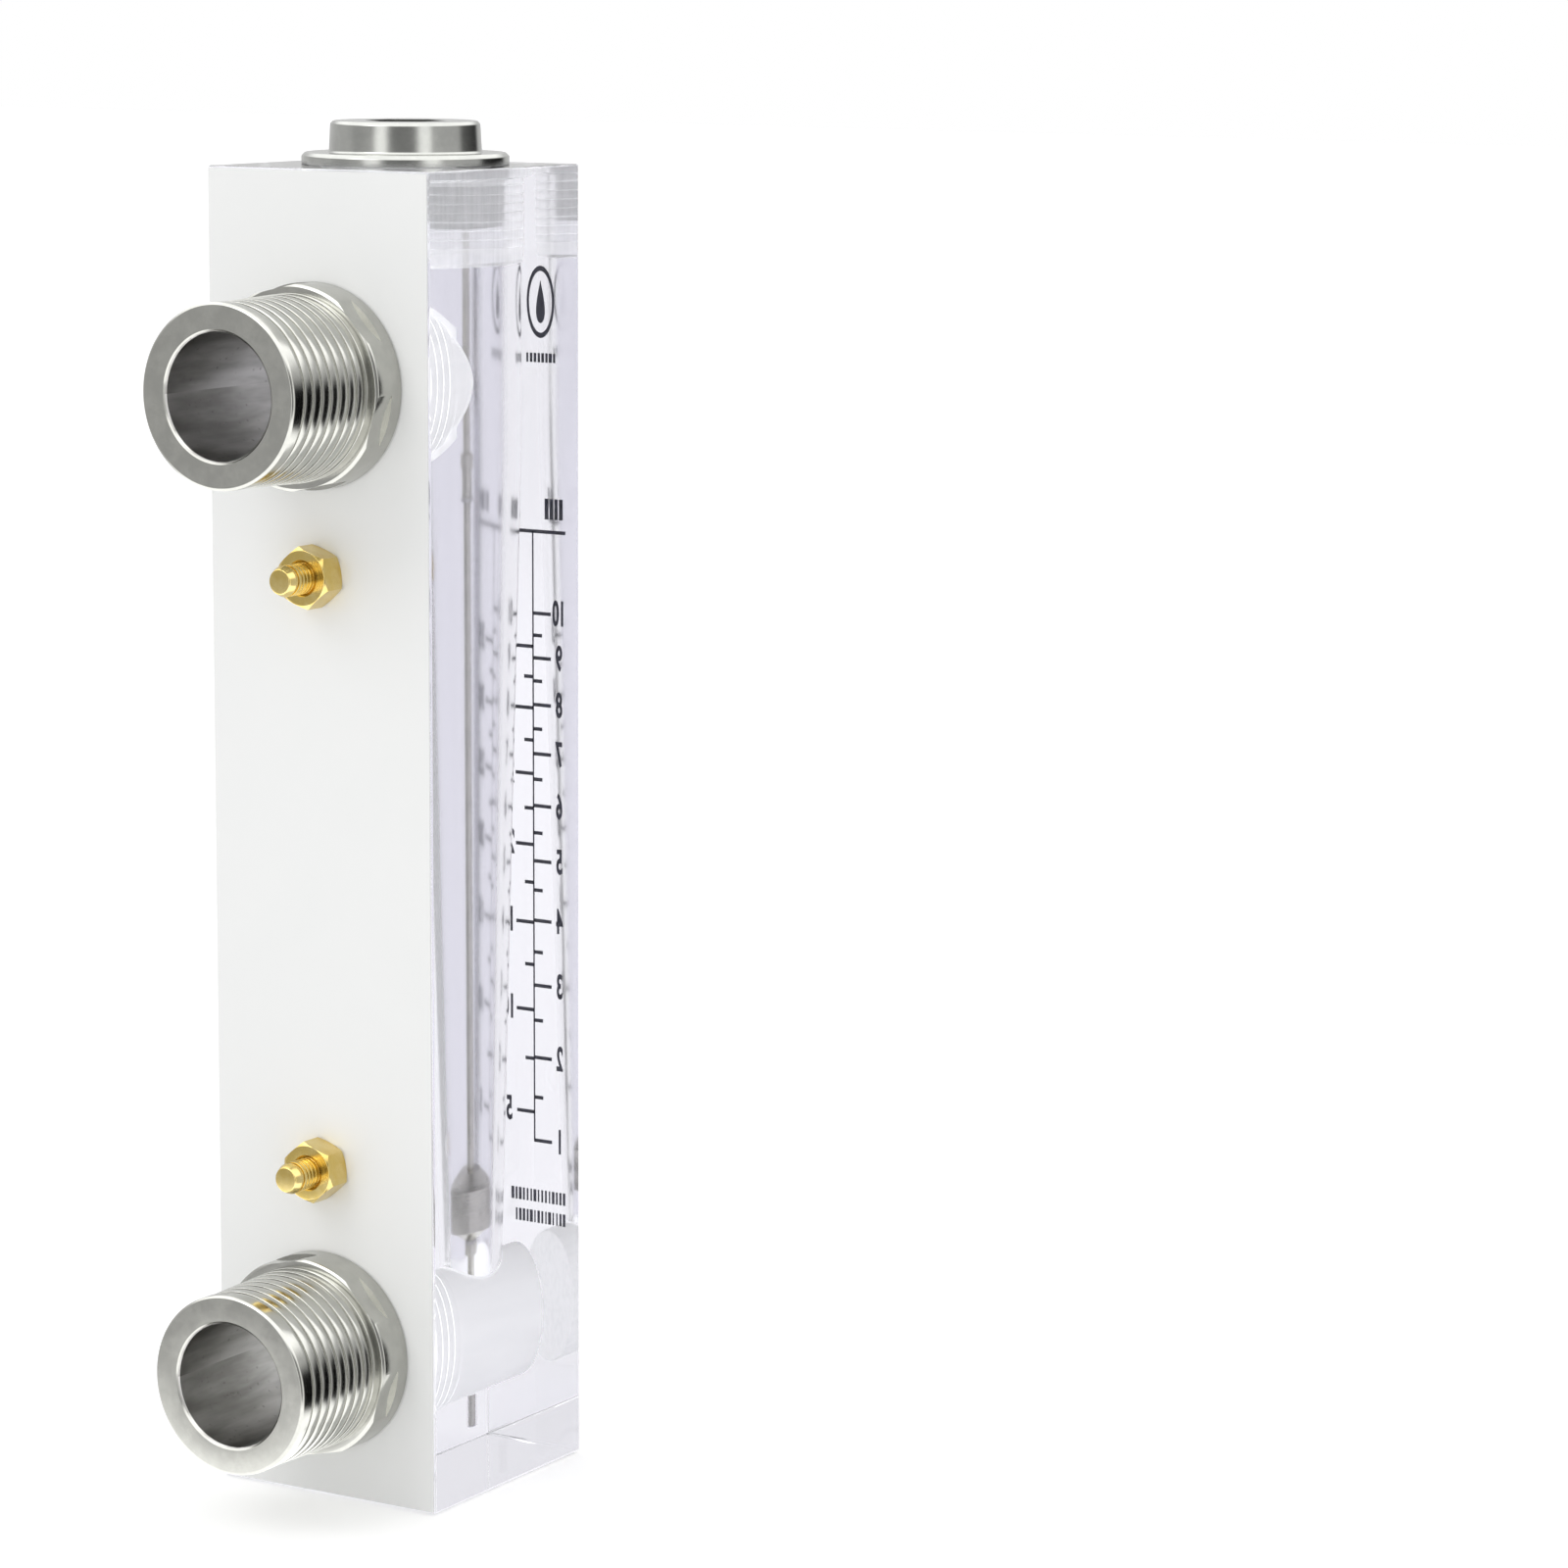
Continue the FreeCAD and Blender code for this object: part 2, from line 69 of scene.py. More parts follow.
class Wire:
    """A value in a node tree that works in plain arithmetic: each operator adds a Math node."""

    def __init__(self, tree: "Tree", socket: bpy.types.NodeSocket) -> None:
        """Keep the tree that the value is in and the socket it comes from."""
        self.tree = tree
        self.socket = socket

    def math(self, operation: str, *others: object, swapped: bool = False) -> "Wire":
        """Add one Math node.

        Args:
            operation: The node's operation.
            others: The other numbers or wires.
            swapped: True if this value is the second one.

        Returns:
            The node's result.
        """
        values = [self, *others]
        if swapped:
            values = [others[0], self]
        return self.tree.wire(self.tree.node("ShaderNodeMath", {"operation": operation}, dict(enumerate(values))))

    def __add__(self, other: object) -> "Wire":
        """The sum."""
        return self.math("ADD", other)

    def __radd__(self, other: object) -> "Wire":
        """The sum, with the number first."""
        return self.math("ADD", other)

    def __sub__(self, other: object) -> "Wire":
        """The difference."""
        return self.math("SUBTRACT", other)

    def __rsub__(self, other: object) -> "Wire":
        """The difference, with the number first."""
        return self.math("SUBTRACT", other, swapped=True)

    def __mul__(self, other: object) -> "Wire":
        """The product."""
        return self.math("MULTIPLY", other)

    def __rmul__(self, other: object) -> "Wire":
        """The product, with the number first."""
        return self.math("MULTIPLY", other)

    def __truediv__(self, other: object) -> "Wire":
        """The quotient."""
        return self.math("DIVIDE", other)

    def __rtruediv__(self, other: object) -> "Wire":
        """The quotient, with the number first."""
        return self.math("DIVIDE", other, swapped=True)

    def __lt__(self, other: object) -> "Wire":
        """1 where this is the smaller, else 0."""
        return self.math("LESS_THAN", other)

    def __gt__(self, other: object) -> "Wire":
        """1 where this is the larger, else 0."""
        return self.math("GREATER_THAN", other)

    def root(self) -> "Wire":
        """The square root."""
        return self.math("SQRT")

    def least(self, other: object) -> "Wire":
        """The smaller of the two."""
        return self.math("MINIMUM", other)

    def most(self, other: object) -> "Wire":
        """The larger of the two."""
        return self.math("MAXIMUM", other)

    def step(self, low: float, high: float) -> "Wire":
        """A smooth step from 0 at low to 1 at high."""
        values = {"Value": self, "From Min": low, "From Max": high}
        return self.tree.wire(self.tree.node("ShaderNodeMapRange", {"interpolation_type": "SMOOTHSTEP"}, values))


class Tree:
    """A node tree with one way to make any node."""

    def __init__(self, tree: bpy.types.NodeTree) -> None:
        """Wrap the tree."""
        self.tree = tree

    def plug(self, socket: bpy.types.NodeSocket, value: object) -> None:
        """Link a socket to a wire, or set its value.

        Args:
            socket: The socket.
            value: The wire, or the value.
        """
        if isinstance(value, Wire):
            self.tree.links.new(value.socket, socket)
        else:
            socket.default_value = value

    def node(
        self,
        kind: str,
        settings: dict[str, object] | None = None,
        inputs: dict[str | int, object] | None = None,
    ) -> bpy.types.Node:
        """Make a node: its settings first, then its sockets.

        Args:
            kind: The node's type.
            settings: Its properties.
            inputs: Numbers, colours or wires, by the socket's name or number.

        Returns:
            The node.
        """
        made = self.tree.nodes.new(kind)
        for name, value in (settings or {}).items():
            setattr(made, name, value)
        for key, value in (inputs or {}).items():
            self.plug(made.inputs[key], value)
        return made

    def wire(self, node: bpy.types.Node, key: str | int = 0) -> Wire:
        """One output of a node, as a wire."""
        return Wire(self, node.outputs[key])

    def vector(self, x: object, y: object, z: object = 0.0) -> Wire:
        """A vector from its numbers."""
        return self.wire(self.node("ShaderNodeCombineXYZ", {}, {0: x, 1: y, 2: z}))


class Join(Enum):
    """How one solid changes another."""

    CUT = "DIFFERENCE"
    ADD = "UNION"
    TRIM = "INTERSECT"


class Shader(Tree):
    """The node tree of one material, with the patterns that its finishes share."""

    def __init__(self, name: str) -> None:
        """Make a material with an empty tree and its output.

        Args:
            name: The material's name.
        """
        self.material = bpy.data.materials.new(name)
        self.material.use_nodes = True
        self.material.node_tree.nodes.clear()
        super().__init__(self.material.node_tree)
        self.output = self.node("ShaderNodeOutputMaterial")

    def place(
        self,
        centre: Vector | tuple[float, float, float] = (0.0, 0.0, 0.0),
        turn: tuple[float, float, float] = (0.0, 0.0, 0.0),
    ) -> Wire:
        """Read the Object coordinates in millimetres, centred on a point and turned.

        Args:
            centre: The point, in metres.
            turn: The turn about each axis.

        Returns:
            The place.
        """
        source = self.wire(self.node("ShaderNodeTexCoord"), "Object")
        mapped = self.node(
            "ShaderNodeMapping",
            {"vector_type": "TEXTURE"},
            {"Vector": source, "Location": centre, "Rotation": turn, "Scale": (MM, MM, MM)},
        )
        return self.wire(mapped)

    def parts(self, vector: Wire) -> tuple[Wire, Wire, Wire]:
        """The three numbers of a vector."""
        split = self.node("ShaderNodeSeparateXYZ", {}, {0: vector})
        return self.wire(split, 0), self.wire(split, 1), self.wire(split, 2)

    def noise(self, vector: Wire, scale: float, detail: float, rough: float = 0.5) -> Wire:
        """A noise value between 0 and 1."""
        values = {"Vector": vector, "Scale": scale, "Detail": detail, "Roughness": rough}
        return self.wire(self.node("ShaderNodeTexNoise", {}, values))

    def grain(
        self,
        values: tuple[Wire, ...],
        scales: tuple[float, ...],
        detail: float,
        rough: float = 0.5,
    ) -> Wire:
        """A noise value between 0 and 1, with its own scale along each direction."""
        stretched = [value * scale for value, scale in zip(values, scales)]
        return self.noise(self.vector(*stretched), 1.0, detail, rough)

    def blend(self, share: object, first: object, second: object) -> Wire:
        """A colour between two colours."""
        return self.wire(self.node("ShaderNodeMix", {"data_type": "RGBA"}, {0: share, 6: first, 7: second}), 2)

    def bump(self, height: Wire, distance: float, strength: float) -> Wire:
        """A normal from a height between 0 and 1, over a distance in metres."""
        values = {"Strength": strength, "Distance": distance, "Height": height}
        return self.wire(self.node("ShaderNodeBump", {}, values))

    def principled(self, inputs: dict[str | int, object]) -> Wire:
        """A Principled shader."""
        return self.wire(self.node("ShaderNodeBsdfPrincipled", {}, inputs))

    def mix(self, share: Wire, first: Wire, second: Wire) -> Wire:
        """Two shaders mixed by a share."""
        return self.wire(self.node("ShaderNodeMixShader", {}, {0: share, 1: first, 2: second}))

    def done(self, surface: Wire) -> bpy.types.Material:
        """Link the surface to the output and give the material."""
        self.plug(self.output.inputs["Surface"], surface)
        return self.material


def grey(value: float) -> tuple[float, float, float, float]:
    """A neutral colour."""
    return (value, value, value, 1.0)


@dataclass(frozen=True)
class ClearAcrylic:
    """Clear cast acrylic: polished outside, finely bored, and milky where a drill or a tap has cut it.

    The milky faces give off a little painted light, an emission in their own colour, in place of the light that
    scatters in the acrylic behind them.
    """

    ports: tuple[Vector, ...]
    port_ends: tuple[float, ...]
    drill_radius: float
    seat_radius: float
    bore_axis: float
    tapped_bottom: float
    tapped_radius: float
    skin: float = 0.3
    edge_skin: float = 0.1
    flat_skin: float = 0.6
    mouth_skin: float = 0.5
    threaded: float = 16.0
    thread_reach: float = 1.5
    seat_depth: float = 2.0
    seat_reach: float = 0.2
    sawn: float = 1.0
    tint: tuple[float, float, float, float] = (0.85, 0.845, 0.895, 1.0)
    milk: tuple[float, float, float, float] = (0.90, 0.905, 0.91, 1.0)
    milk_streak: tuple[float, float, float, float] = (0.97, 0.97, 0.97, 1.0)
    milk_band: tuple[float, float] = (0.35, 0.65)
    polished: float = 0.02
    drilled: float = 0.30
    bored: float = 0.18
    bored_reach: float = 14.4
    milk_share: float = 0.97
    tapped_share: float = 0.52
    tapped_rings: float = 0.2
    tapped_rough: float = 0.12
    groove_clear: float = 0.62
    tap_crest: float = 14.1
    tap_height: float = 0.85
    tap_past: float = 0.2
    groove_band: tuple[float, float] = (0.1, 0.9)
    streak_scales: tuple[float, float, float] = (0.7, 0.05, 0.7)
    ring_scales: tuple[float, float, float] = (0.1, 1.6, 0.1)
    frost_least: float = 0.85
    frost_streaks: float = 0.2
    frost_rings: float = 0.1
    wear_rough: float = 0.02
    index: float = 1.49
    milk_rough: float = 0.6
    # Strength of the painted light on the milky faces, in place of light scattered in the acrylic.
    glow: float = 0.42
    glass_relief: tuple[float, float] = (0.03 * MM, 0.2)
    milk_relief: tuple[float, float] = (0.04 * MM, 0.3)

    def port_wall(self, x: Wire, y: Wire, z: Wire, port: Vector, end: float) -> Wire:
        """1 on the cut walls, the seat and the flat end of one port, else 0.

        Args:
            x: The place across, in millimetres.
            y: The place along the port.
            z: The height.
            port: The middle of the port's mouth.
            end: Where the port's flat end lies along it.

        Returns:
            The mask.
        """
        up = z - port.z
        across = (x * x + up * up).root()
        wall = (across > self.drill_radius - self.skin) * (across < self.drill_radius + self.skin)
        thread = (across < self.drill_radius + self.thread_reach) * (y < port.y + self.threaded)
        seat = (across < self.seat_radius + self.seat_reach) * (y < port.y + self.seat_depth)
        flat = (across < self.drill_radius + self.edge_skin) * (y > end - self.flat_skin)
        cut = wall.most(thread).most(seat).most(flat)
        return cut * (y < end + self.edge_skin) * (y > port.y - self.mouth_skin)

    def build(self) -> bpy.types.Material:
        """Make the material.

        Returns:
            The material.
        """
        shader = Shader("clear_acrylic")
        plain = shader.place()
        x, y, z = shader.parts(plain)
        first, second = [self.port_wall(x, y, z, port, end) for port, end in zip(self.ports, self.port_ends)]
        cut = first.most(second)
        off = y - self.bore_axis
        from_axis = (x * x + off * off).root()
        tapped = (z > self.tapped_bottom) * (from_axis < self.tapped_radius)
        bored = (z < self.tapped_bottom) * (z > self.sawn) * (from_axis < self.bored_reach) * (1.0 - cut)
        streaks = shader.grain((x, y, z), self.streak_scales, detail=2.0)
        rings = shader.grain((x, y, z), self.ring_scales, detail=2.0)
        frost = (cut * (streaks * self.frost_streaks + rings * self.frost_rings + self.frost_least)).least(1.0)
        groove = ((from_axis - self.tap_crest) / self.tap_height).step(*self.groove_band)
        groove = groove * (from_axis < self.tap_crest + self.tap_height + self.tap_past)
        milk_share = frost * self.milk_share
        milk_share = milk_share + tapped * (
            rings * self.tapped_rings + self.tapped_share - groove * self.groove_clear
        )
        wear = shader.noise(plain, scale=0.8, detail=4.0, rough=0.6)
        rough = frost * self.drilled + tapped * self.tapped_rough + bored * self.bored
        rough = rough + wear * self.wear_rough + (self.polished - self.wear_rough / 2.0)
        glass = shader.principled({
            "Base Color": self.tint,
            "Roughness": rough,
            "IOR": self.index,
            "Transmission Weight": 1.0,
            "Normal": shader.bump(streaks * frost, *self.glass_relief),
        })
        milky = shader.principled({
            "Base Color": shader.blend(streaks.step(*self.milk_band), self.milk, self.milk_streak),
            "Roughness": self.milk_rough,
            # Painted light: the milky faces emit their own colour, standing in for light scattered in the acrylic
            # behind them.
            "Emission Color": self.milk,
            "Emission Strength": self.glow,
            "Normal": shader.bump(streaks * frost, *self.milk_relief),
        })
        return shader.done(shader.mix(milk_share, glass, milky))


@dataclass(frozen=True)
class WhiteSheet:
    """An opaque white sheet with a faint mottle; its bonded face gives off a painted light in its own tone, in
    place of the light that strays in the acrylic.
    """

    bonded: float
    tone: tuple[float, float, float, float] = (0.89, 0.90, 0.895, 1.0)
    mottle_tone: tuple[float, float, float, float] = (0.915, 0.918, 0.912, 1.0)
    bond_skin: float = 0.05
    # Strength of the painted light on the bonded face.
    glow: float = 0.18
    rough: float = 0.36
    rough_spread: float = 0.12
    peel_relief: tuple[float, float] = (0.02 * MM, 0.25)

    def build(self) -> bpy.types.Material:
        """Make the material.

        Returns:
            The material.
        """
        shader = Shader("white_sheet")
        plain = shader.place()
        along = shader.parts(plain)[1]
        mottle = shader.noise(plain, scale=0.05, detail=3.0, rough=0.55)
        peel = shader.noise(plain, scale=1.2, detail=2.0)
        return shader.done(shader.principled({
            "Base Color": shader.blend(mottle, self.tone, self.mottle_tone),
            "Roughness": mottle * self.rough_spread + self.rough,
            "Specular IOR Level": 0.3,
            # Painted light: only the face bonded to the block emits, standing in for the light that strays in the
            # acrylic.
            "Emission Color": shader.blend(along > self.bonded - self.bond_skin, grey(0.0), self.tone),
            "Emission Strength": self.glow,
            "Normal": shader.bump(peel, *self.peel_relief),
        }))


@dataclass(frozen=True)
class TurnedMetal:
    """Metal turned in a lathe: fine rings round an axis, with the streaks of the bar along it."""

    name: str
    axis_point: Vector
    along: Vector
    tone: tuple[float, float, float, float]
    streak_tone: tuple[float, float, float, float]
    low: float = 0.17
    spread: float = 0.16
    ring_relief: tuple[float, float] = (0.004 * MM, 0.6)
    ring_scales: tuple[float, float] = (7.0, 7.0)
    streak_scales: tuple[float, float, float] = (1.3, 1.3, 0.12)
    drag_scales: tuple[float, float, float] = (2.6, 0.05, 0.3)
    cloud_rough: float = 0.08
    cloud_band: tuple[float, float] = (0.35, 0.7)
    bore_radius: float = 0.0
    bore_skin: float = 0.25
    bore_rough: float = 0.04
    drag_rough: float = 0.22
    drag_band: tuple[float, float] = (0.3, 0.7)
    drag_depth: float = 1.5
    pit_depth: float = 2.0
    pit_scale: float = 0.55
    pit_band: tuple[float, float] = (0.05, 0.24)
    pit_streaks: tuple[float, float] = (0.42, 0.6)
    pit_shade: float = 0.5
    bore_dark: tuple[float, float, float, float] = (0.30, 0.295, 0.28, 1.0)
    bore_light: tuple[float, float, float, float] = (0.58, 0.575, 0.56, 1.0)
    pit_tone: tuple[float, float, float, float] = (0.14, 0.13, 0.12, 1.0)

    def build(self) -> bpy.types.Material:
        """Make the material.

        Returns:
            The material.
        """
        shader = Shader(self.name)
        turn = UP.rotation_difference(self.along).to_euler()
        centred = shader.place(self.axis_point, tuple(turn))
        x, y, z = shader.parts(centred)
        radius = (x * x + y * y).root()
        angle = y.math("ARCTAN2", x)
        rings = shader.grain((radius, z), self.ring_scales, detail=3.0, rough=0.65)
        cloud = shader.noise(centred, scale=0.22, detail=4.0, rough=0.6)
        streaks = shader.grain((x, y, z), self.streak_scales, detail=4.0, rough=0.6)
        tone = shader.blend(cloud.step(*self.cloud_band), self.tone, self.streak_tone)
        rough = rings * self.spread + cloud * self.cloud_rough + self.low
        height = rings
        if self.bore_radius:
            inside = radius < self.bore_radius + self.bore_skin
            drag = shader.grain((angle, z, radius), self.drag_scales, detail=3.0, rough=0.55)
            pits = shader.wire(shader.node(
                "ShaderNodeTexVoronoi", {"feature": "F1"}, {"Vector": centred, "Scale": self.pit_scale}
            ))
            pit = (1.0 - pits.step(*self.pit_band)) * streaks.step(*self.pit_streaks)
            dark = shader.blend(drag.step(*self.drag_band), self.bore_dark, self.bore_light)
            dark = shader.blend(pit * self.pit_shade, dark, self.pit_tone)
            tone = shader.blend(inside, tone, dark)
            rough = rough + inside * (drag * self.drag_rough + self.bore_rough)
            height = height + inside * (drag * self.drag_depth - pit * self.pit_depth)
        return shader.done(shader.principled({
            "Base Color": tone,
            "Metallic": 1.0,
            "Roughness": rough,
            "Normal": shader.bump(height, *self.ring_relief),
        }))


@dataclass(frozen=True)
class Mottled:
    """A finish whose tone, roughness and relief follow one noise, its tone between two values of it."""

    name: str
    first: tuple[float, float, float, float]
    second: tuple[float, float, float, float]
    scale: float
    rough: float
    rough_spread: float
    relief: float
    strength: float
    detail: float = 3.0
    grain: float = 0.6
    band: tuple[float, float] | None = None

    def build(self) -> bpy.types.Material:
        """Make the material.

        Returns:
            The material.
        """
        shader = Shader(self.name)
        noise = shader.noise(shader.place(), self.scale, self.detail, self.grain)
        share = noise.step(*self.band) if self.band else noise
        return shader.done(shader.principled({
            "Base Color": shader.blend(share, self.first, self.second),
            "Roughness": noise * self.rough_spread + self.rough,
            "Normal": shader.bump(noise, self.relief * MM, self.strength),
        }))


SEAL_RUBBER = Mottled(
    name="seal_rubber",
    first=grey(0.045),
    second=grey(0.10),
    scale=0.7,
    rough=0.42,
    rough_spread=0.2,
    relief=0.02,
    strength=0.3,
    detail=4.0,
    band=(0.4, 0.75),
)
SOFT_PLASTIC = Mottled(
    name="white_bumper",
    first=grey(0.82),
    second=(0.88, 0.875, 0.85, 1.0),
    scale=1.5,
    rough=0.4,
    rough_spread=0.15,
    relief=0.01,
    strength=0.3,
    grain=0.5,
)
SCALE_INK = Mottled(
    name="scale_ink",
    first=(0.012, 0.014, 0.035, 1.0),
    second=(0.03, 0.034, 0.06, 1.0),
    scale=3.0,
    rough=0.3,
    rough_spread=0.25,
    relief=0.01,
    strength=0.4,
)


class Bench:
    """Mesh work shared by the sub-assemblies: turning, cutting, joining and placing."""

    @staticmethod
    def show(name: str, mesh: bpy.types.Mesh) -> bpy.types.Object:
        """Put a mesh in the scene as an object at the origin.

        Args:
            name: The object's name.
            mesh: The mesh.

        Returns:
            The object.
        """
        made = bpy.data.objects.new(name, mesh)
        bpy.context.scene.collection.objects.link(made)
        return made

    @classmethod
    def keep(cls, name: str, shape: bmesh.types.BMesh) -> bpy.types.Object:
        """Keep a shape as an object, and free it.

        Args:
            name: The object's name.
            shape: The shape.

        Returns:
            The object.
        """
        mesh = bpy.data.meshes.new(name)
        shape.to_mesh(mesh)
        shape.free()
        return cls.show(name, mesh)

    @staticmethod
    def drop(*tools: bpy.types.Object) -> None:
        """Delete tools that are used up."""
        for tool in tools:
            bpy.data.objects.remove(tool)

    @staticmethod
    def rounded(corners: list[tuple[float, ...]], steps: int = 4) -> list[tuple[float, float]]:
        """Round the corners of an open outline.

        Args:
            corners: (radius, height) or (radius, height, rounding) in millimetres.
            steps: Straight pieces to each rounded corner.

        Returns:
            The outline's points in millimetres.
        """
        points = []
        for index, corner in enumerate(corners):
            here = Vector(corner[:2])
            rounding = corner[2] if len(corner) > 2 else 0.0
            if not rounding or index in (0, len(corners) - 1):
                points.append(tuple(here))
                continue
            back = (Vector(corners[index - 1][:2]) - here).normalized()
            on = (Vector(corners[index + 1][:2]) - here).normalized()
            for step in range(steps + 1):
                share = step / steps
                start = here + back * rounding
                end = here + on * rounding
                near = start.lerp(here, share)
                far = here.lerp(end, share)
                points.append(tuple(near.lerp(far, share)))
        return points

    @classmethod
    def turn(
        cls,
        name: str,
        corners: list[tuple[float, ...]],
        segments: int = 96,
        closed: bool = False,
    ) -> bpy.types.Object:
        """Turn an outline round the Z axis.

        Args:
            name: The object's name.
            corners: The outline's corners in millimetres, with roundings.
            segments: Steps round the axis.
            closed: True if the outline's end joins its start, as on a bored piece.

        Returns:
            The object, with its faces pointing out.
        """
        outline = cls.rounded(corners)
        shape = bmesh.new()
        rings = []
        for radius, height in outline:
            if radius < ON_AXIS:
                rings.append([shape.verts.new((0.0, 0.0, height * MM))] * segments)
                continue
            ring = []
            for step in range(segments):
                angle = 2.0 * math.pi * step / segments
                place = (radius * MM * math.cos(angle), radius * MM * math.sin(angle), height * MM)
                ring.append(shape.verts.new(place))
            rings.append(ring)
        pairs = list(zip(rings, rings[1:]))
        if closed:
            pairs.append((rings[-1], rings[0]))
        for low, high in pairs:
            for step in range(segments):
                after = (step + 1) % segments
                corners_of_face = [low[step], low[after], high[after], high[step]]
                unique = list(dict.fromkeys(corners_of_face))
                if len(unique) > 2:
                    shape.faces.new(unique)
        bmesh.ops.recalc_face_normals(shape, faces=shape.faces)
        return cls.keep(name, shape)

    @classmethod
    def prism(cls, name: str, flats: float, low: float, high: float, turned: float = 0.0) -> bpy.types.Object:
        """Make a hexagonal bar on the Z axis, with a corner towards +Y before it is turned.

        Args:
            name: The object's name.
            flats: Its size across flats, in millimetres.
            low: The height of its lower end.
            high: The height of its upper end.
            turned: Its turn in degrees.

        Returns:
            The bar.
        """
        shape = bmesh.new()
        corner = flats * MM / math.sqrt(3.0)
        rings = []
        for height in (low * MM, high * MM):
            angles = [math.radians(90.0 + turned + 60.0 * step) for step in range(6)]
            rings.append([shape.verts.new((corner * math.cos(a), corner * math.sin(a), height)) for a in angles])
        shape.faces.new(reversed(rings[0]))
        shape.faces.new(rings[1])
        for step in range(6):
            after = (step + 1) % 6
            shape.faces.new([rings[0][step], rings[0][after], rings[1][after], rings[1][step]])
        return cls.keep(name, shape)

    @classmethod
    def brick(cls, name: str, low: Vector, high: Vector, edge: float = 0.0) -> bpy.types.Object:
        """Make a box between two corners, with its edges broken.

        Args:
            name: The object's name.
            low: The lowest corner, in millimetres.
            high: The highest corner.
            edge: The size of the broken edge.

        Returns:
            The box.
        """
        shape = bmesh.new()
        bmesh.ops.create_cube(shape, size=1.0)
        middle = (low + high) * MM / 2.0
        size = (high - low) * MM
        bmesh.ops.transform(
            shape,
            matrix=Matrix.Translation(middle) @ Matrix.Diagonal((*size, 1.0)),
            verts=shape.verts,
        )
        if edge:
            bmesh.ops.bevel(shape, geom=shape.edges, offset=edge * MM, segments=2, profile=0.5, affect="EDGES")
        return cls.keep(name, shape)

    @staticmethod
    def combine(base: bpy.types.Object, how: Join, *tools: bpy.types.Object) -> bpy.types.Object:
        """Cut, join or trim the base with each tool, and delete the tools.

        Args:
            base: The object that is changed.
            how: What each tool does to it.
            tools: The other solids.

        Returns:
            The base.
        """
        for tool in tools:
            modifier = base.modifiers.new("cut", "BOOLEAN")
            modifier.operation = how.value
            modifier.solver = "EXACT"
            modifier.object = tool
            Bench.bake(base)
            Bench.drop(tool)
        return base

    @staticmethod
    def bake(made: bpy.types.Object) -> bpy.types.Object:
        """Turn the object's modifiers into plain mesh.

        Args:
            made: The object.

        Returns:
            The same object.
        """
        bpy.context.view_layer.update()
        evaluated = made.evaluated_get(bpy.context.evaluated_depsgraph_get())
        mesh = bpy.data.meshes.new_from_object(evaluated)
        made.modifiers.clear()
        made.data = mesh
        return made

    @staticmethod
    def move(made: bpy.types.Object, matrix: Matrix) -> bpy.types.Object:
        """Move the mesh itself, so that the object stays at the origin.

        Args:
            made: The object.
            matrix: The move.

        Returns:
            The same object.
        """
        made.data.transform(matrix)
        made.data.update()
        return made

    @staticmethod
    def to_back(y: float, height: float) -> Matrix:
        """The move that lays a piece built up the Z axis so that it points out of the back, in millimetres."""
        return Matrix.Translation((0.0, y * MM, height * MM)) @ Matrix.Rotation(math.radians(90.0), 4, "X")

    @staticmethod
    def dress(made: bpy.types.Object, material: bpy.types.Material, angle: float | None) -> bpy.types.Object:
        """Give a piece its material, and shade it smooth except over sharp edges.

        Args:
            made: The piece.
            material: The material.
            angle: The least angle of a sharp edge in degrees, or None for flat faces.

        Returns:
            The same piece.
        """
        made.data.materials.clear()
        made.data.materials.append(material)
        for face in made.data.polygons:
            face.material_index = 0
        if angle is not None:
            made.data.polygons.foreach_set("use_smooth", [True] * len(made.data.polygons))
            made.data.set_sharp_from_angle(angle=math.radians(angle))
        return made

    @staticmethod
    def join(name: str, pieces: list[bpy.types.Object]) -> bpy.types.Object:
        """Join pieces into one mesh, and delete them.

        Args:
            name: The new piece's name.
            pieces: The pieces.

        Returns:
            The new piece.
        """
        shape = bmesh.new()
        for piece in pieces:
            shape.from_mesh(piece.data)
        Bench.drop(*pieces)
        return Bench.keep(name, shape)

    @staticmethod
    def copy(made: bpy.types.Object, name: str) -> bpy.types.Object:
        """A second object with its own mesh."""
        return Bench.show(name, made.data.copy())


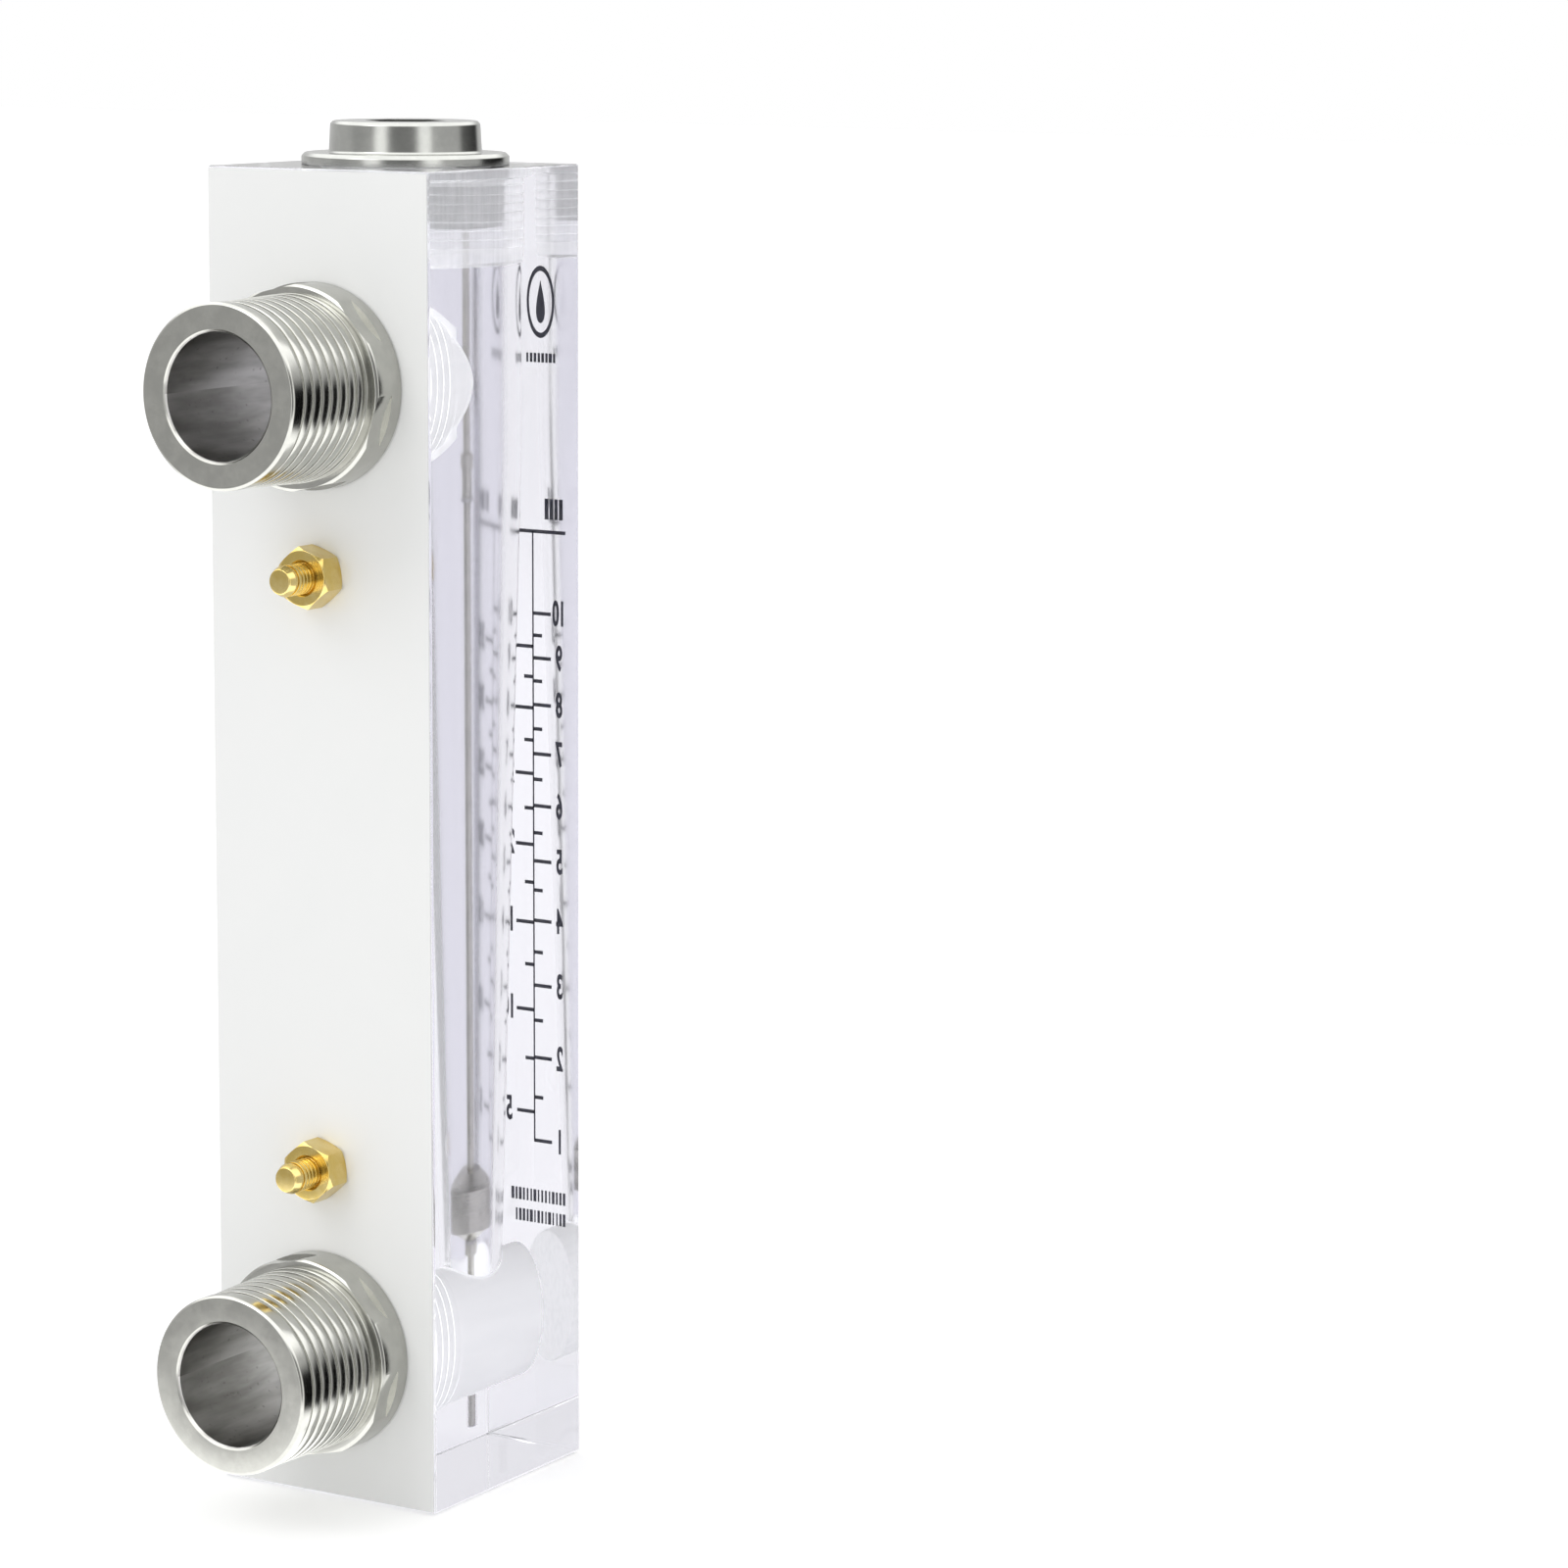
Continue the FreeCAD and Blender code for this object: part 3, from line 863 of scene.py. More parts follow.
class GeometryTree(Tree):
    """A geometry node group with named inputs, and the steps that put it on a piece."""

    def __init__(self, name: str, counts: tuple[str, ...], numbers: tuple[str, ...]) -> None:
        """Make the group, with a material as its last input.

        Args:
            name: The group's name.
            counts: The names of its inputs that are whole numbers.
            numbers: The names of its other number inputs.
        """
        group = bpy.data.node_groups.new(name, "GeometryNodeTree")
        super().__init__(group)
        inputs = dict.fromkeys(counts, "NodeSocketInt") | dict.fromkeys(numbers, "NodeSocketFloat")
        inputs["Material"] = "NodeSocketMaterial"
        group.interface.new_socket("Geometry", in_out="INPUT", socket_type="NodeSocketGeometry")
        self.identifiers = {}
        for label, kind in inputs.items():
            made = group.interface.new_socket(label, in_out="INPUT", socket_type=kind)
            self.identifiers[label] = made.identifier
        group.interface.new_socket("Geometry", in_out="OUTPUT", socket_type="NodeSocketGeometry")
        self.entry = self.node("NodeGroupInput")

    def value(self, label: str) -> Wire:
        """One of the group's inputs."""
        return self.wire(self.entry, label)

    def close(self, geometry: Wire) -> None:
        """End the tree in Realize Instances and Set Material.

        Args:
            geometry: What the tree has made.
        """
        real = self.node("GeometryNodeRealizeInstances", {}, {0: geometry})
        dressed = self.node(
            "GeometryNodeSetMaterial", {}, {0: self.wire(real), "Material": self.value("Material")}
        )
        self.node("NodeGroupOutput", {}, {0: self.wire(dressed)})

    def row(self, place: Wire, size: Wire) -> None:
        """End the tree in as many boxes as its count says.

        Args:
            place: The place of each box.
            size: The size of each box.
        """
        line = self.node("GeometryNodeMeshLine", {}, {"Count": self.value("Count")})
        placed = self.node("GeometryNodeSetPosition", {}, {0: self.wire(line), "Position": place})
        box = self.node("GeometryNodeMeshCube", {}, {"Size": (1.0, 1.0, 1.0)})
        boxes = self.node("GeometryNodeInstanceOnPoints", {}, {
            "Points": self.wire(placed),
            "Instance": self.wire(box),
            "Scale": size,
        })
        self.close(self.wire(boxes))

    def make(self, name: str, values: dict[str, object]) -> bpy.types.Object:
        """Run the tree on an empty mesh and keep the result as a plain mesh.

        Args:
            name: The object's name.
            values: A value for each named input.

        Returns:
            The object, with no modifier left on it.
        """
        made = Bench.show(name, bpy.data.meshes.new(name))
        modifier = made.modifiers.new("nodes", "NODES")
        modifier.node_group = self.tree
        for label, value in values.items():
            modifier[self.identifiers[label]] = value
        return Bench.bake(made)


class ThreadTree(GeometryTree):
    """A right-hand thread's ridge: a trapezium swept up a helix that may taper, fading out at both ends."""

    BURIED = 0.35
    OUTWARD = -math.pi / 2.0
    LEAST = 0.02

    def __init__(self) -> None:
        """Build the tree."""
        super().__init__("thread_ridge", ("Steps Per Turn",), (
            "Pitch", "Turns", "Root Radius", "End Root Radius", "Ridge Height",
            "Foot Width", "Crest Width", "Rounding", "Run Out Turns",
        ))
        turns = self.value("Turns")
        height = self.value("Ridge Height")
        helix = self.node("GeometryNodeCurveSpiral", {}, {
            "Resolution": self.value("Steps Per Turn"),
            "Rotations": turns,
            "Start Radius": self.value("Root Radius"),
            "End Radius": self.value("End Root Radius"),
            "Height": turns * self.value("Pitch"),
        })
        upright = self.node("GeometryNodeSetCurveNormal", {"mode": "Z_UP"}, {0: self.wire(helix)})
        buried = height * self.BURIED
        section = self.node("GeometryNodeCurvePrimitiveQuadrilateral", {"mode": "TRAPEZOID"}, {
            "Bottom Width": self.value("Foot Width"),
            "Top Width": self.value("Crest Width"),
            "Height": height + buried,
            "Offset": 0.0,
        })
        soft = self.node("GeometryNodeFilletCurve", {"mode": "POLY"}, {
            0: self.wire(section),
            "Count": 3,
            "Radius": self.value("Rounding"),
            "Limit Radius": True,
        })
        shift = self.vector(0.0, (height - buried) * 0.5)
        raised = self.node("GeometryNodeTransform", {}, {0: self.wire(soft), "Translation": shift})
        turned = self.node(
            "GeometryNodeTransform", {}, {0: self.wire(raised), "Rotation": (0.0, 0.0, self.OUTWARD)}
        )
        along = self.wire(self.node("GeometryNodeSplineParameter"), "Factor") * turns
        fade = (along.least(turns - along) / self.value("Run Out Turns")).least(1.0)
        ridge = self.node("GeometryNodeCurveToMesh", {}, {
            "Curve": self.wire(upright),
            "Profile Curve": self.wire(turned),
            "Scale": fade.most(self.LEAST),
            "Fill Caps": True,
        })
        self.close(self.wire(ridge))


@dataclass(frozen=True)
class Thread:
    """One thread's sizes in millimetres along its own axis, and the ridge that it makes."""

    pitch: float
    start: float
    end: float
    root: float
    height: float
    crest: float
    gap: float
    slope: float = 0.0
    rounding: float = 0.05
    run_out: float = 0.5
    steps: int = 96

    def ridge(self, tree: ThreadTree) -> bpy.types.Object:
        """Make the ridge on the Z axis.

        Args:
            tree: The node tree that sweeps it.

        Returns:
            The ridge as a closed mesh.
        """
        turns = (self.end - self.start) / self.pitch
        made = tree.make("ridge", {
            "Pitch": self.pitch * MM,
            "Turns": turns,
            "Root Radius": (self.root - self.start * self.slope) * MM,
            "End Root Radius": (self.root - self.end * self.slope) * MM,
            "Ridge Height": self.height * MM,
            "Foot Width": (self.pitch - self.gap) * MM,
            "Crest Width": self.crest * MM,
            "Rounding": self.rounding * MM,
            "Run Out Turns": self.run_out,
            "Steps Per Turn": self.steps,
        })
        return Bench.move(made, Matrix.Translation((0.0, 0.0, self.start * MM)))

    def tap(self, turns_below: int, end: float, room: float) -> "Thread":
        """The groove for this thread in the piece that it screws into, in step with it.

        Args:
            turns_below: Whole turns that the groove starts below the thread.
            end: Where the groove ends.
            room: The clearance all round.

        Returns:
            The groove's sizes.
        """
        return Thread(
            pitch=self.pitch,
            start=self.start - turns_below * self.pitch,
            end=end,
            root=self.root + room,
            height=self.height,
            crest=self.crest + room,
            gap=self.gap - room,
            rounding=self.rounding,
            run_out=self.run_out,
            steps=self.steps,
        )


@dataclass(frozen=True)
class Places:
    """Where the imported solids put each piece, in millimetres."""

    film_back: float
    block_back: float
    block_front: float
    block_side: float
    block_top: float
    bore_axis: float
    inlet: float
    outlet: float
    lower_stud: float
    upper_stud: float
    plug_bottom: float
    float_bottom: float
    rod_bottom: float

    @staticmethod
    def corners(node: str) -> tuple[Vector, Vector]:
        """The lowest and the highest corner of a node."""
        low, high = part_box(node)
        return low / MM, high / MM

    @classmethod
    def middle(cls, node: str, axis: str) -> float:
        """The middle of a node along one axis."""
        low, high = cls.corners(node)
        return (getattr(low, axis) + getattr(high, axis)) / 2.0

    @classmethod
    def read(cls) -> "Places":
        """Read the places from the frame.

        Returns:
            The places.
        """
        block_low, block_high = cls.corners("meter_block")
        return cls(
            film_back=cls.corners("back_film")[0].y,
            block_back=block_low.y,
            block_front=block_high.y,
            block_side=block_high.x,
            block_top=block_high.z,
            bore_axis=cls.middle("guide_rod", "y"),
            inlet=cls.middle("inlet_fitting", "z"),
            outlet=cls.middle("outlet_fitting", "z"),
            lower_stud=cls.middle("lower_stud", "z"),
            upper_stud=cls.middle("upper_stud", "z"),
            plug_bottom=cls.corners("top_plug")[0].z,
            float_bottom=cls.corners("float")[0].z,
            rod_bottom=cls.corners("guide_rod")[0].z,
        )


@dataclass
class ClearBlock:
    """The clear block: a broken-edged bar, bored, drilled, tapped and counterbored."""

    places: Places
    tree: ThreadTree
    plug_thread: Thread
    port_thread: Thread
    edge: float = 0.35
    film_overlap: float = 0.05
    bore_foot: float = 7.5
    bore_head: float = 13.8
    taper: float = 155.0
    taper_step: float = 15.5
    tapped_depth: float = 16.0
    plug_minor: float = 14.2
    plug_seat: float = 16.6
    plug_seat_depth: float = 2.0
    port_drill: float = 12.05
    inlet_depth: float = 40.0
    outlet_depth: float = 26.0
    port_seat: float = 16.0
    port_seat_depth: float = 1.8
    drill_corner: float = 0.5
    bore_corner: float = 0.3
    edge_rounding: float = 0.1
    seat_rounding: float = 0.2
    plug_entry: float = 0.4
    port_entry: float = 0.8
    tapped_past: float = 0.6
    seat_past: float = 0.2
    stud_radius: float = 3.05
    stud_depth: float = 8.7
    drill_tip: float = 1.8
    rod_radius: float = 1.32
    past: float = 3.0
    thread_room: float = 0.05

    def bore(self) -> bpy.types.Object:
        """Make the room for the flow, the plug and the rod's foot, on the Z axis.

        Returns:
            The room, as a solid.
        """
        foot = self.places.inlet
        top = self.places.block_top
        tapped = top - self.tapped_depth
        seat = top - self.plug_seat_depth
        corners = [(0.0, self.places.rod_bottom), (self.rod_radius, self.places.rod_bottom)]
        corners.append((self.rod_radius, foot))
        steps = round(self.taper / self.taper_step)
        for step in range(steps + 1):
            share = step / steps
            radius = self.bore_foot + (self.bore_head - self.bore_foot) * share
            corners.append((radius, foot + self.taper * share))
        corners += [
            (self.bore_head, tapped - self.drill_corner, self.bore_corner),
            (self.plug_minor, tapped, self.edge_rounding),
            (self.plug_minor, seat - self.plug_entry),
            (self.plug_minor + self.plug_entry, seat),
            (self.plug_seat, seat, self.seat_rounding),
            (self.plug_seat, top + self.past),
            (0.0, top + self.past),
        ]
        return Bench.turn("bore", corners, segments=128)

    def port(self, depth: float) -> bpy.types.Object:
        """Make the room for one port, with its mouth at height 0 and its depth downwards.

        Args:
            depth: The port's depth in millimetres.

        Returns:
            The room, as a solid.
        """
        corners = [
            (0.0, -depth),
            (self.port_drill, -depth, self.drill_corner),
            (self.port_drill, -depth / 2.0),
            (self.port_drill, -self.port_seat_depth - self.port_entry),
            (self.port_drill + self.port_entry, -self.port_seat_depth),
            (self.port_seat, -self.port_seat_depth, self.seat_rounding),
            (self.port_seat, self.past),
            (0.0, self.past),
        ]
        return Bench.turn("port", corners, segments=112)

    def stud_hole(self) -> bpy.types.Object:
        """Make the drilled hole for one stud, with its mouth at height 0.

        Returns:
            The hole, as a solid.
        """
        corners = [
            (0.0, -self.stud_depth - self.drill_tip),
            (self.stud_radius, -self.stud_depth),
            (self.stud_radius, self.past),
            (0.0, self.past),
        ]
        return Bench.turn("stud_hole", corners, segments=48)

    def build(self) -> bpy.types.Object:
        """Make the block.

        Returns:
            The block as one mesh.
        """
        places = self.places
        low = Vector((-places.block_side, places.block_back - self.film_overlap, 0.0))
        high = Vector((places.block_side, places.block_front, places.block_top))
        block = Bench.brick("clear_block", low, high, self.edge)
        on_bore = Matrix.Translation((0.0, places.bore_axis * MM, 0.0))
        tap = self.plug_thread.tap(3, places.block_top - self.plug_seat_depth, self.thread_room)
        Bench.combine(block, Join.CUT, Bench.move(self.bore(), on_bore))
        Bench.combine(block, Join.CUT, Bench.move(tap.ridge(self.tree), on_bore))
        thread = self.port_thread.tap(1, places.block_back - places.film_back, self.thread_room)
        ports = ((places.inlet, self.inlet_depth), (places.outlet, self.outlet_depth))
        for height, depth in ports:
            hole = Bench.move(self.port(depth), Bench.to_back(places.block_back, height))
            Bench.combine(block, Join.CUT, hole)
            ridge = Bench.move(thread.ridge(self.tree), Bench.to_back(places.film_back, height))
            Bench.combine(block, Join.CUT, ridge)
        for height in (places.lower_stud, places.upper_stud):
            hole = Bench.move(self.stud_hole(), Bench.to_back(places.block_back, height))
            Bench.combine(block, Join.CUT, hole)
        return block

    def finish(self) -> ClearAcrylic:
        """Tell the acrylic where the block's ports and its tapped hole lie.

        Returns:
            The finish.
        """
        places = self.places
        return ClearAcrylic(
            ports=(
                Vector((0.0, places.block_back, places.inlet)),
                Vector((0.0, places.block_back, places.outlet)),
            ),
            port_ends=(places.block_back + self.inlet_depth, places.block_back + self.outlet_depth),
            drill_radius=self.port_drill,
            seat_radius=self.port_seat,
            bore_axis=places.bore_axis,
            tapped_bottom=places.block_top - self.tapped_depth - self.tapped_past,
            tapped_radius=self.plug_seat + self.seat_past,
        )


@dataclass
class PipeFitting:
    """One steel fitting: inner thread, collar with six flats, taper pipe thread and a plain lead at its tip."""

    places: Places
    tree: ThreadTree
    spigot_thread: Thread
    bore: float = 10.5
    bore_edge: float = 0.5
    spigot: float = 12.0
    spigot_length: float = 14.0
    collar_radius: float = 17.25
    collar_height: float = 7.0
    collar_flats: float = 33.3
    collar_turn: float = -17.0
    flange_height: float = 3.0
    edge_drop: float = 0.5
    edge_rounding: float = 0.15
    thread_length: float = 20.5
    thread_crest: float = 16.6
    thread_depth: float = 1.35
    thread_slope: float = 1.0 / 32.0
    thread_pitch: float = 2.309
    lead_radius: float = 15.3
    lead_length: float = 2.6
    lead_bite: float = 0.15
    lead_skin: float = 0.03
    lead_corner: float = 0.1
    tip_chamfer: float = 0.35
    spigot_chamfer: float = 0.5
    bite: float = 0.5
    flat_past: float = 0.3
    past: float = 3.0

    def outer_thread(self) -> Thread:
        """Size the taper pipe thread, with the collar's seat at height 0.

        Returns:
            The thread.
        """
        start = self.collar_height - self.thread_pitch
        end = self.collar_height + self.thread_length + self.thread_pitch
        root = self.thread_crest - self.thread_depth + self.collar_height * self.thread_slope
        return Thread(
            pitch=self.thread_pitch,
            start=start,
            end=end,
            root=root,
            height=self.thread_depth,
            slope=self.thread_slope,
            crest=0.34,
            gap=0.2,
            rounding=0.12,
            steps=112,
        )

    def envelope(self) -> bpy.types.Object:
        """Make the form that trims the taper thread: it clears the crests, then closes in to the plain lead.

        Returns:
            The form, as a solid.
        """
        low = self.collar_height - self.bite
        tip = self.collar_height + self.thread_length
        radius = self.thread_crest + self.thread_pitch
        lead = tip - self.lead_length
        return Bench.turn("envelope", [
            (0.0, low),
            (radius, low),
            (radius, lead - (radius - self.lead_radius)),
            (self.lead_radius, lead, self.lead_corner),
            (self.lead_radius, tip - self.tip_chamfer),
            (0.0, tip - self.tip_chamfer),
        ], segments=144)

    def collar(self) -> bpy.types.Object:
        """Make the collar: a round flange, with six shallow flats on the part over it.

        Returns:
            The collar.
        """
        radius = self.collar_radius
        height = self.collar_height
        drop = self.edge_drop * math.tan(math.radians(30.0))
        disc = Bench.turn("collar", [
            (0.0, 0.0),
            (radius - self.edge_drop, 0.0, self.edge_rounding),
            (radius, drop, self.edge_rounding),
            (radius, height - drop, self.edge_rounding),
            (radius - self.edge_drop, height, self.edge_rounding),
            (0.0, height),
        ], segments=144)
        flange = Bench.turn("flange", [
            (0.0, -self.bite),
            (radius + self.bite, -self.bite),
            (radius + self.bite, self.flange_height),
            (0.0, self.flange_height),
        ], segments=144)
        flats = Bench.prism("flats", self.collar_flats, -self.flat_past, height + self.bite, self.collar_turn)
        return Bench.combine(disc, Join.TRIM, Bench.combine(flange, Join.ADD, flats))

    def build(self, name: str) -> bpy.types.Object:
        """Make one fitting along the Z axis, with its seat at height 0.

        Args:
            name: The piece's name.

        Returns:
            The fitting.
        """
        outer = self.outer_thread()
        tip = self.collar_height + self.thread_length
        lead_end = tip - self.lead_length + self.lead_bite
        lead_radius = self.lead_radius + self.lead_skin
        low_root = outer.root - outer.start * outer.slope
        high_root = outer.root - outer.end * outer.slope
        cone = Bench.turn("cone", [
            (0.0, outer.start),
            (low_root, outer.start),
            (high_root, outer.end),
            (0.0, outer.end),
        ], segments=144)
        Bench.combine(cone, Join.ADD, outer.ridge(self.tree))
        Bench.combine(cone, Join.TRIM, self.envelope())
        lead = Bench.turn("lead", [
            (0.0, lead_end),
            (lead_radius, lead_end),
            (lead_radius, tip - self.tip_chamfer, self.edge_rounding),
            (self.lead_radius - self.tip_chamfer, tip, self.edge_rounding),
            (0.0, tip),
        ], segments=144)
        Bench.combine(cone, Join.ADD, lead)
        body = Bench.turn(name, [
            (0.0, -self.spigot_length),
            (self.spigot - self.spigot_chamfer, -self.spigot_length),
            (self.spigot, -self.spigot_length + self.spigot_chamfer),
            (self.spigot, self.bite),
            (0.0, self.bite),
        ], segments=112)
        Bench.combine(body, Join.ADD, self.spigot_thread.ridge(self.tree), self.collar(), cone)
        drill = Bench.turn("drill", [
            (0.0, -self.spigot_length - self.past),
            (self.bore + self.bore_edge + self.past, -self.spigot_length - self.past),
            (self.bore, -self.spigot_length + self.bore_edge),
            (self.bore, 0.0),
            (self.bore, tip - self.bore_edge, self.edge_rounding),
            (self.bore + self.bore_edge + self.past, tip + self.past),
            (0.0, tip + self.past),
        ], segments=128)
        return Bench.combine(body, Join.CUT, drill)

    def finish(self, name: str, height: float) -> TurnedMetal:
        """Choose the steel of one fitting.

        Args:
            name: The material's name.
            height: The height of the fitting's axis.

        Returns:
            The finish, turned round that axis.
        """
        return TurnedMetal(
            name=name,
            axis_point=Vector((0.0, self.places.film_back * MM, height * MM)),
            along=OUT_OF_BACK,
            tone=(0.46, 0.46, 0.43, 1.0),
            streak_tone=(0.52, 0.52, 0.485, 1.0),
            low=0.09,
            spread=0.08,
            bore_radius=self.bore,
        )


@dataclass
class TopPlug:
    """The steel plug in the top: thread, flange, and round head with a key socket."""

    places: Places
    tree: ThreadTree
    thread: Thread
    core: float = 14.1
    core_chamfer: float = 0.5
    flange: float = 17.6
    flange_height: float = 2.0
    flange_chamfer: float = 0.6
    head: float = 12.7
    head_flare: float = 0.25
    head_fillet: float = 0.3
    head_height: float = 5.3
    head_chamfer: float = 0.5
    socket_flats: float = 12.0
    socket_depth: float = 6.0
    socket_past: float = 1.0
    rounding: float = 0.15

    def build(self) -> bpy.types.Object:
        """Make the plug at its place in the block.

        Returns:
            The plug.
        """
        bottom = self.places.plug_bottom
        top = self.places.block_top
        flange_top = top + self.flange_height
        head_top = flange_top + self.head_height
        plug = Bench.turn("top_plug_turned", [
            (0.0, bottom),
            (self.core - self.core_chamfer, bottom),
            (self.core, bottom + self.core_chamfer),
            (self.core, top),
            (self.flange, top, self.rounding),
            (self.flange, flange_top - self.flange_chamfer, self.rounding),
            (self.flange - self.flange_chamfer, flange_top, self.rounding),
            (self.head + self.head_flare + self.head_fillet, flange_top, self.rounding),
            (self.head + self.head_flare, flange_top + self.head_fillet, self.rounding),
            (self.head, head_top - self.head_chamfer, self.rounding),
            (self.head - self.head_chamfer, head_top, self.rounding),
            (0.0, head_top),
        ], segments=144)
        Bench.combine(plug, Join.ADD, self.thread.ridge(self.tree))
        socket = Bench.prism("socket", self.socket_flats, head_top - self.socket_depth,
                             head_top + self.socket_past)
        Bench.combine(plug, Join.CUT, socket)
        return Bench.move(plug, Matrix.Translation((0.0, self.places.bore_axis * MM, 0.0)))

    def finish(self) -> TurnedMetal:
        """Choose the plug's steel.

        Returns:
            The finish, turned round the flow bore's axis.
        """
        return TurnedMetal(
            name="plug_steel",
            axis_point=Vector((0.0, self.places.bore_axis * MM, self.places.block_top * MM)),
            along=UP,
            tone=(0.42, 0.425, 0.405, 1.0),
            streak_tone=(0.47, 0.475, 0.45, 1.0),
            low=0.10,
            spread=0.10,
        )


@dataclass
class PanelStud:
    """A brass stud with a cut thread and a tapered tip, and its hexagon nut."""

    places: Places
    tree: ThreadTree
    projection: float = 11.1
    depth: float = 9.0
    root: float = 2.45
    thread_height: float = 0.55
    pitch: float = 1.0
    tip_radius: float = 2.1
    tip_length: float = 1.2
    foot_chamfer: float = 0.4
    crest_drop: float = 0.35
    shoulder_drop: float = 0.2
    shoulder_rounding: float = 0.1
    tip_rounding: float = 0.2
    thread_foot: float = 0.6
    thread_stop: float = 0.3
    nut_flats: float = 9.3
    nut_height: float = 5.0
    nut_turn: float = 10.0
    nut_drop: float = 0.55
    nut_hole: float = 2.6
    nut_chamfer: float = 0.5
    nut_rounding: float = 0.1
    nut_face_drop: float = 0.02

    def stud(self, name: str) -> bpy.types.Object:
        """Make one stud along the Z axis, with the block's back sheet at height 0.

        Args:
            name: The piece's name.

        Returns:
            The stud.
        """
        shoulder = self.projection - self.tip_length
        crest = self.root + self.thread_height
        body = Bench.turn(name, [
            (0.0, -self.depth),
            (self.root - self.foot_chamfer, -self.depth),
            (self.root, -self.depth + self.foot_chamfer),
            (self.root, shoulder - self.shoulder_drop),
            (crest - self.crest_drop, shoulder, self.shoulder_rounding),
            (self.tip_radius, self.projection, self.tip_rounding),
            (0.0, self.projection),
        ], segments=64)
        thread = Thread(
            pitch=self.pitch,
            start=-self.depth + self.thread_foot,
            end=shoulder - self.thread_stop,
            root=self.root,
            height=self.thread_height,
            crest=0.14,
            gap=0.08,
            rounding=0.04,
            run_out=0.6,
            steps=48,
        )
        return Bench.combine(body, Join.ADD, thread.ridge(self.tree))

    def nut(self, name: str) -> bpy.types.Object:
        """Make one nut along the Z axis, with its seat at height 0.

        Args:
            name: The piece's name.

        Returns:
            The nut.
        """
        corner = self.nut_flats / math.sqrt(3.0)
        flat = self.nut_flats / 2.0 - self.nut_face_drop
        inner = self.nut_hole
        height = self.nut_height
        chamfer = self.nut_chamfer
        rounding = self.nut_rounding
        outline = [
            (inner + chamfer, 0.0),
            (flat, 0.0, rounding),
            (corner, self.nut_drop, rounding),
            (corner, height - self.nut_drop, rounding),
            (flat, height, rounding),
            (inner + chamfer, height),
            (inner, height - chamfer),
            (inner, chamfer),
        ]
        disc = Bench.turn(name, outline, closed=True)
        bar = Bench.prism("bar", self.nut_flats, -chamfer, height + chamfer, self.nut_turn)
        return Bench.combine(disc, Join.TRIM, bar)

    def finish(self, name: str, height: float) -> TurnedMetal:
        """Choose the bright brass of one stud and its nut.

        Args:
            name: The material's name.
            height: The height of the stud's axis.

        Returns:
            The finish, turned round that axis.
        """
        return TurnedMetal(
            name=name,
            axis_point=Vector((0.0, self.places.film_back * MM, height * MM)),
            along=OUT_OF_BACK,
            tone=(0.66, 0.49, 0.15, 1.0),
            streak_tone=(0.74, 0.60, 0.27, 1.0),
            low=0.10,
            spread=0.10,
        )


@dataclass
class MeteringFloat:
    """The turned steel float, with its corners barely broken."""

    places: Places
    radius: float = 7.7
    nose_height: float = 2.8
    nose_radius: float = 2.5
    band_height: float = 7.3
    shoulder_height: float = 2.2
    crown_radius: float = 3.7
    hole: float = 1.38
    rounding: float = 0.15

    def build(self) -> bpy.types.Object:
        """Make the float at its rest height on the guide rod.

        Returns:
            The float.
        """
        bottom = self.places.float_bottom
        nose_top = bottom + self.nose_height
        band_top = nose_top + self.band_height
        crown = band_top + self.shoulder_height
        made = Bench.turn("turned_float", [
            (self.hole, bottom),
            (self.nose_radius, bottom, self.rounding),
            (self.radius, nose_top, self.rounding),
            (self.radius, band_top, self.rounding),
            (self.crown_radius, crown, self.rounding),
            (self.hole, crown),
        ], segments=128, closed=True)
        return Bench.move(made, Matrix.Translation((0.0, self.places.bore_axis * MM, 0.0)))

    def finish(self) -> TurnedMetal:
        """Choose the float's steel.

        Returns:
            The finish, turned round the rod's axis.
        """
        return TurnedMetal(
            name="float_steel",
            axis_point=Vector((0.0, self.places.bore_axis * MM, self.places.float_bottom * MM)),
            along=UP,
            tone=(0.62, 0.61, 0.56, 1.0),
            streak_tone=(0.70, 0.69, 0.63, 1.0),
        )


class Side(Enum):
    """The two sides of the scale's centre line, as a direction along X."""

    GALLONS = 1.0
    LITRES = -1.0


@dataclass(frozen=True)
class Unit:
    """One unit of the scale: its side, its size in gallons, and its marks and numbers."""

    side: Side
    gallons: float
    first: float
    step: float
    marks: int
    numbers: range


LITRES_PER_GALLON = 3.785
GALLON_SCALE = Unit(Side.GALLONS, 1.0, 1.0, 0.5, 19, range(1, 11))
LITRE_SCALE = Unit(Side.LITRES, 1.0 / LITRES_PER_GALLON, 5.0, 2.5, 13, range(5, 40, 5))


@dataclass(frozen=True)
class BarRow:
    """One row of plain bars: its name and seed, and its place and sizes in millimetres."""

    name: str
    seed: int
    left: float
    height: float
    tall: float
    count: int
    spacing: float = 1.75


BAR_ROWS = (
    BarRow("unit_bars_gallons", 3, 14.0, 167.3, 3.6, 4, 2.2),
    BarRow("unit_bars_litres", 4, -5.6, 167.3, 3.6, 4, 2.2),
    BarRow("mark_bars", 5, 11.0, 193.4, 1.6, 8),
    BarRow("upper_note_bars", 6, 15.0, 45.2, 2.2, 15),
    BarRow("lower_note_bars", 7, 15.0, 41.4, 2.2, 14),
)


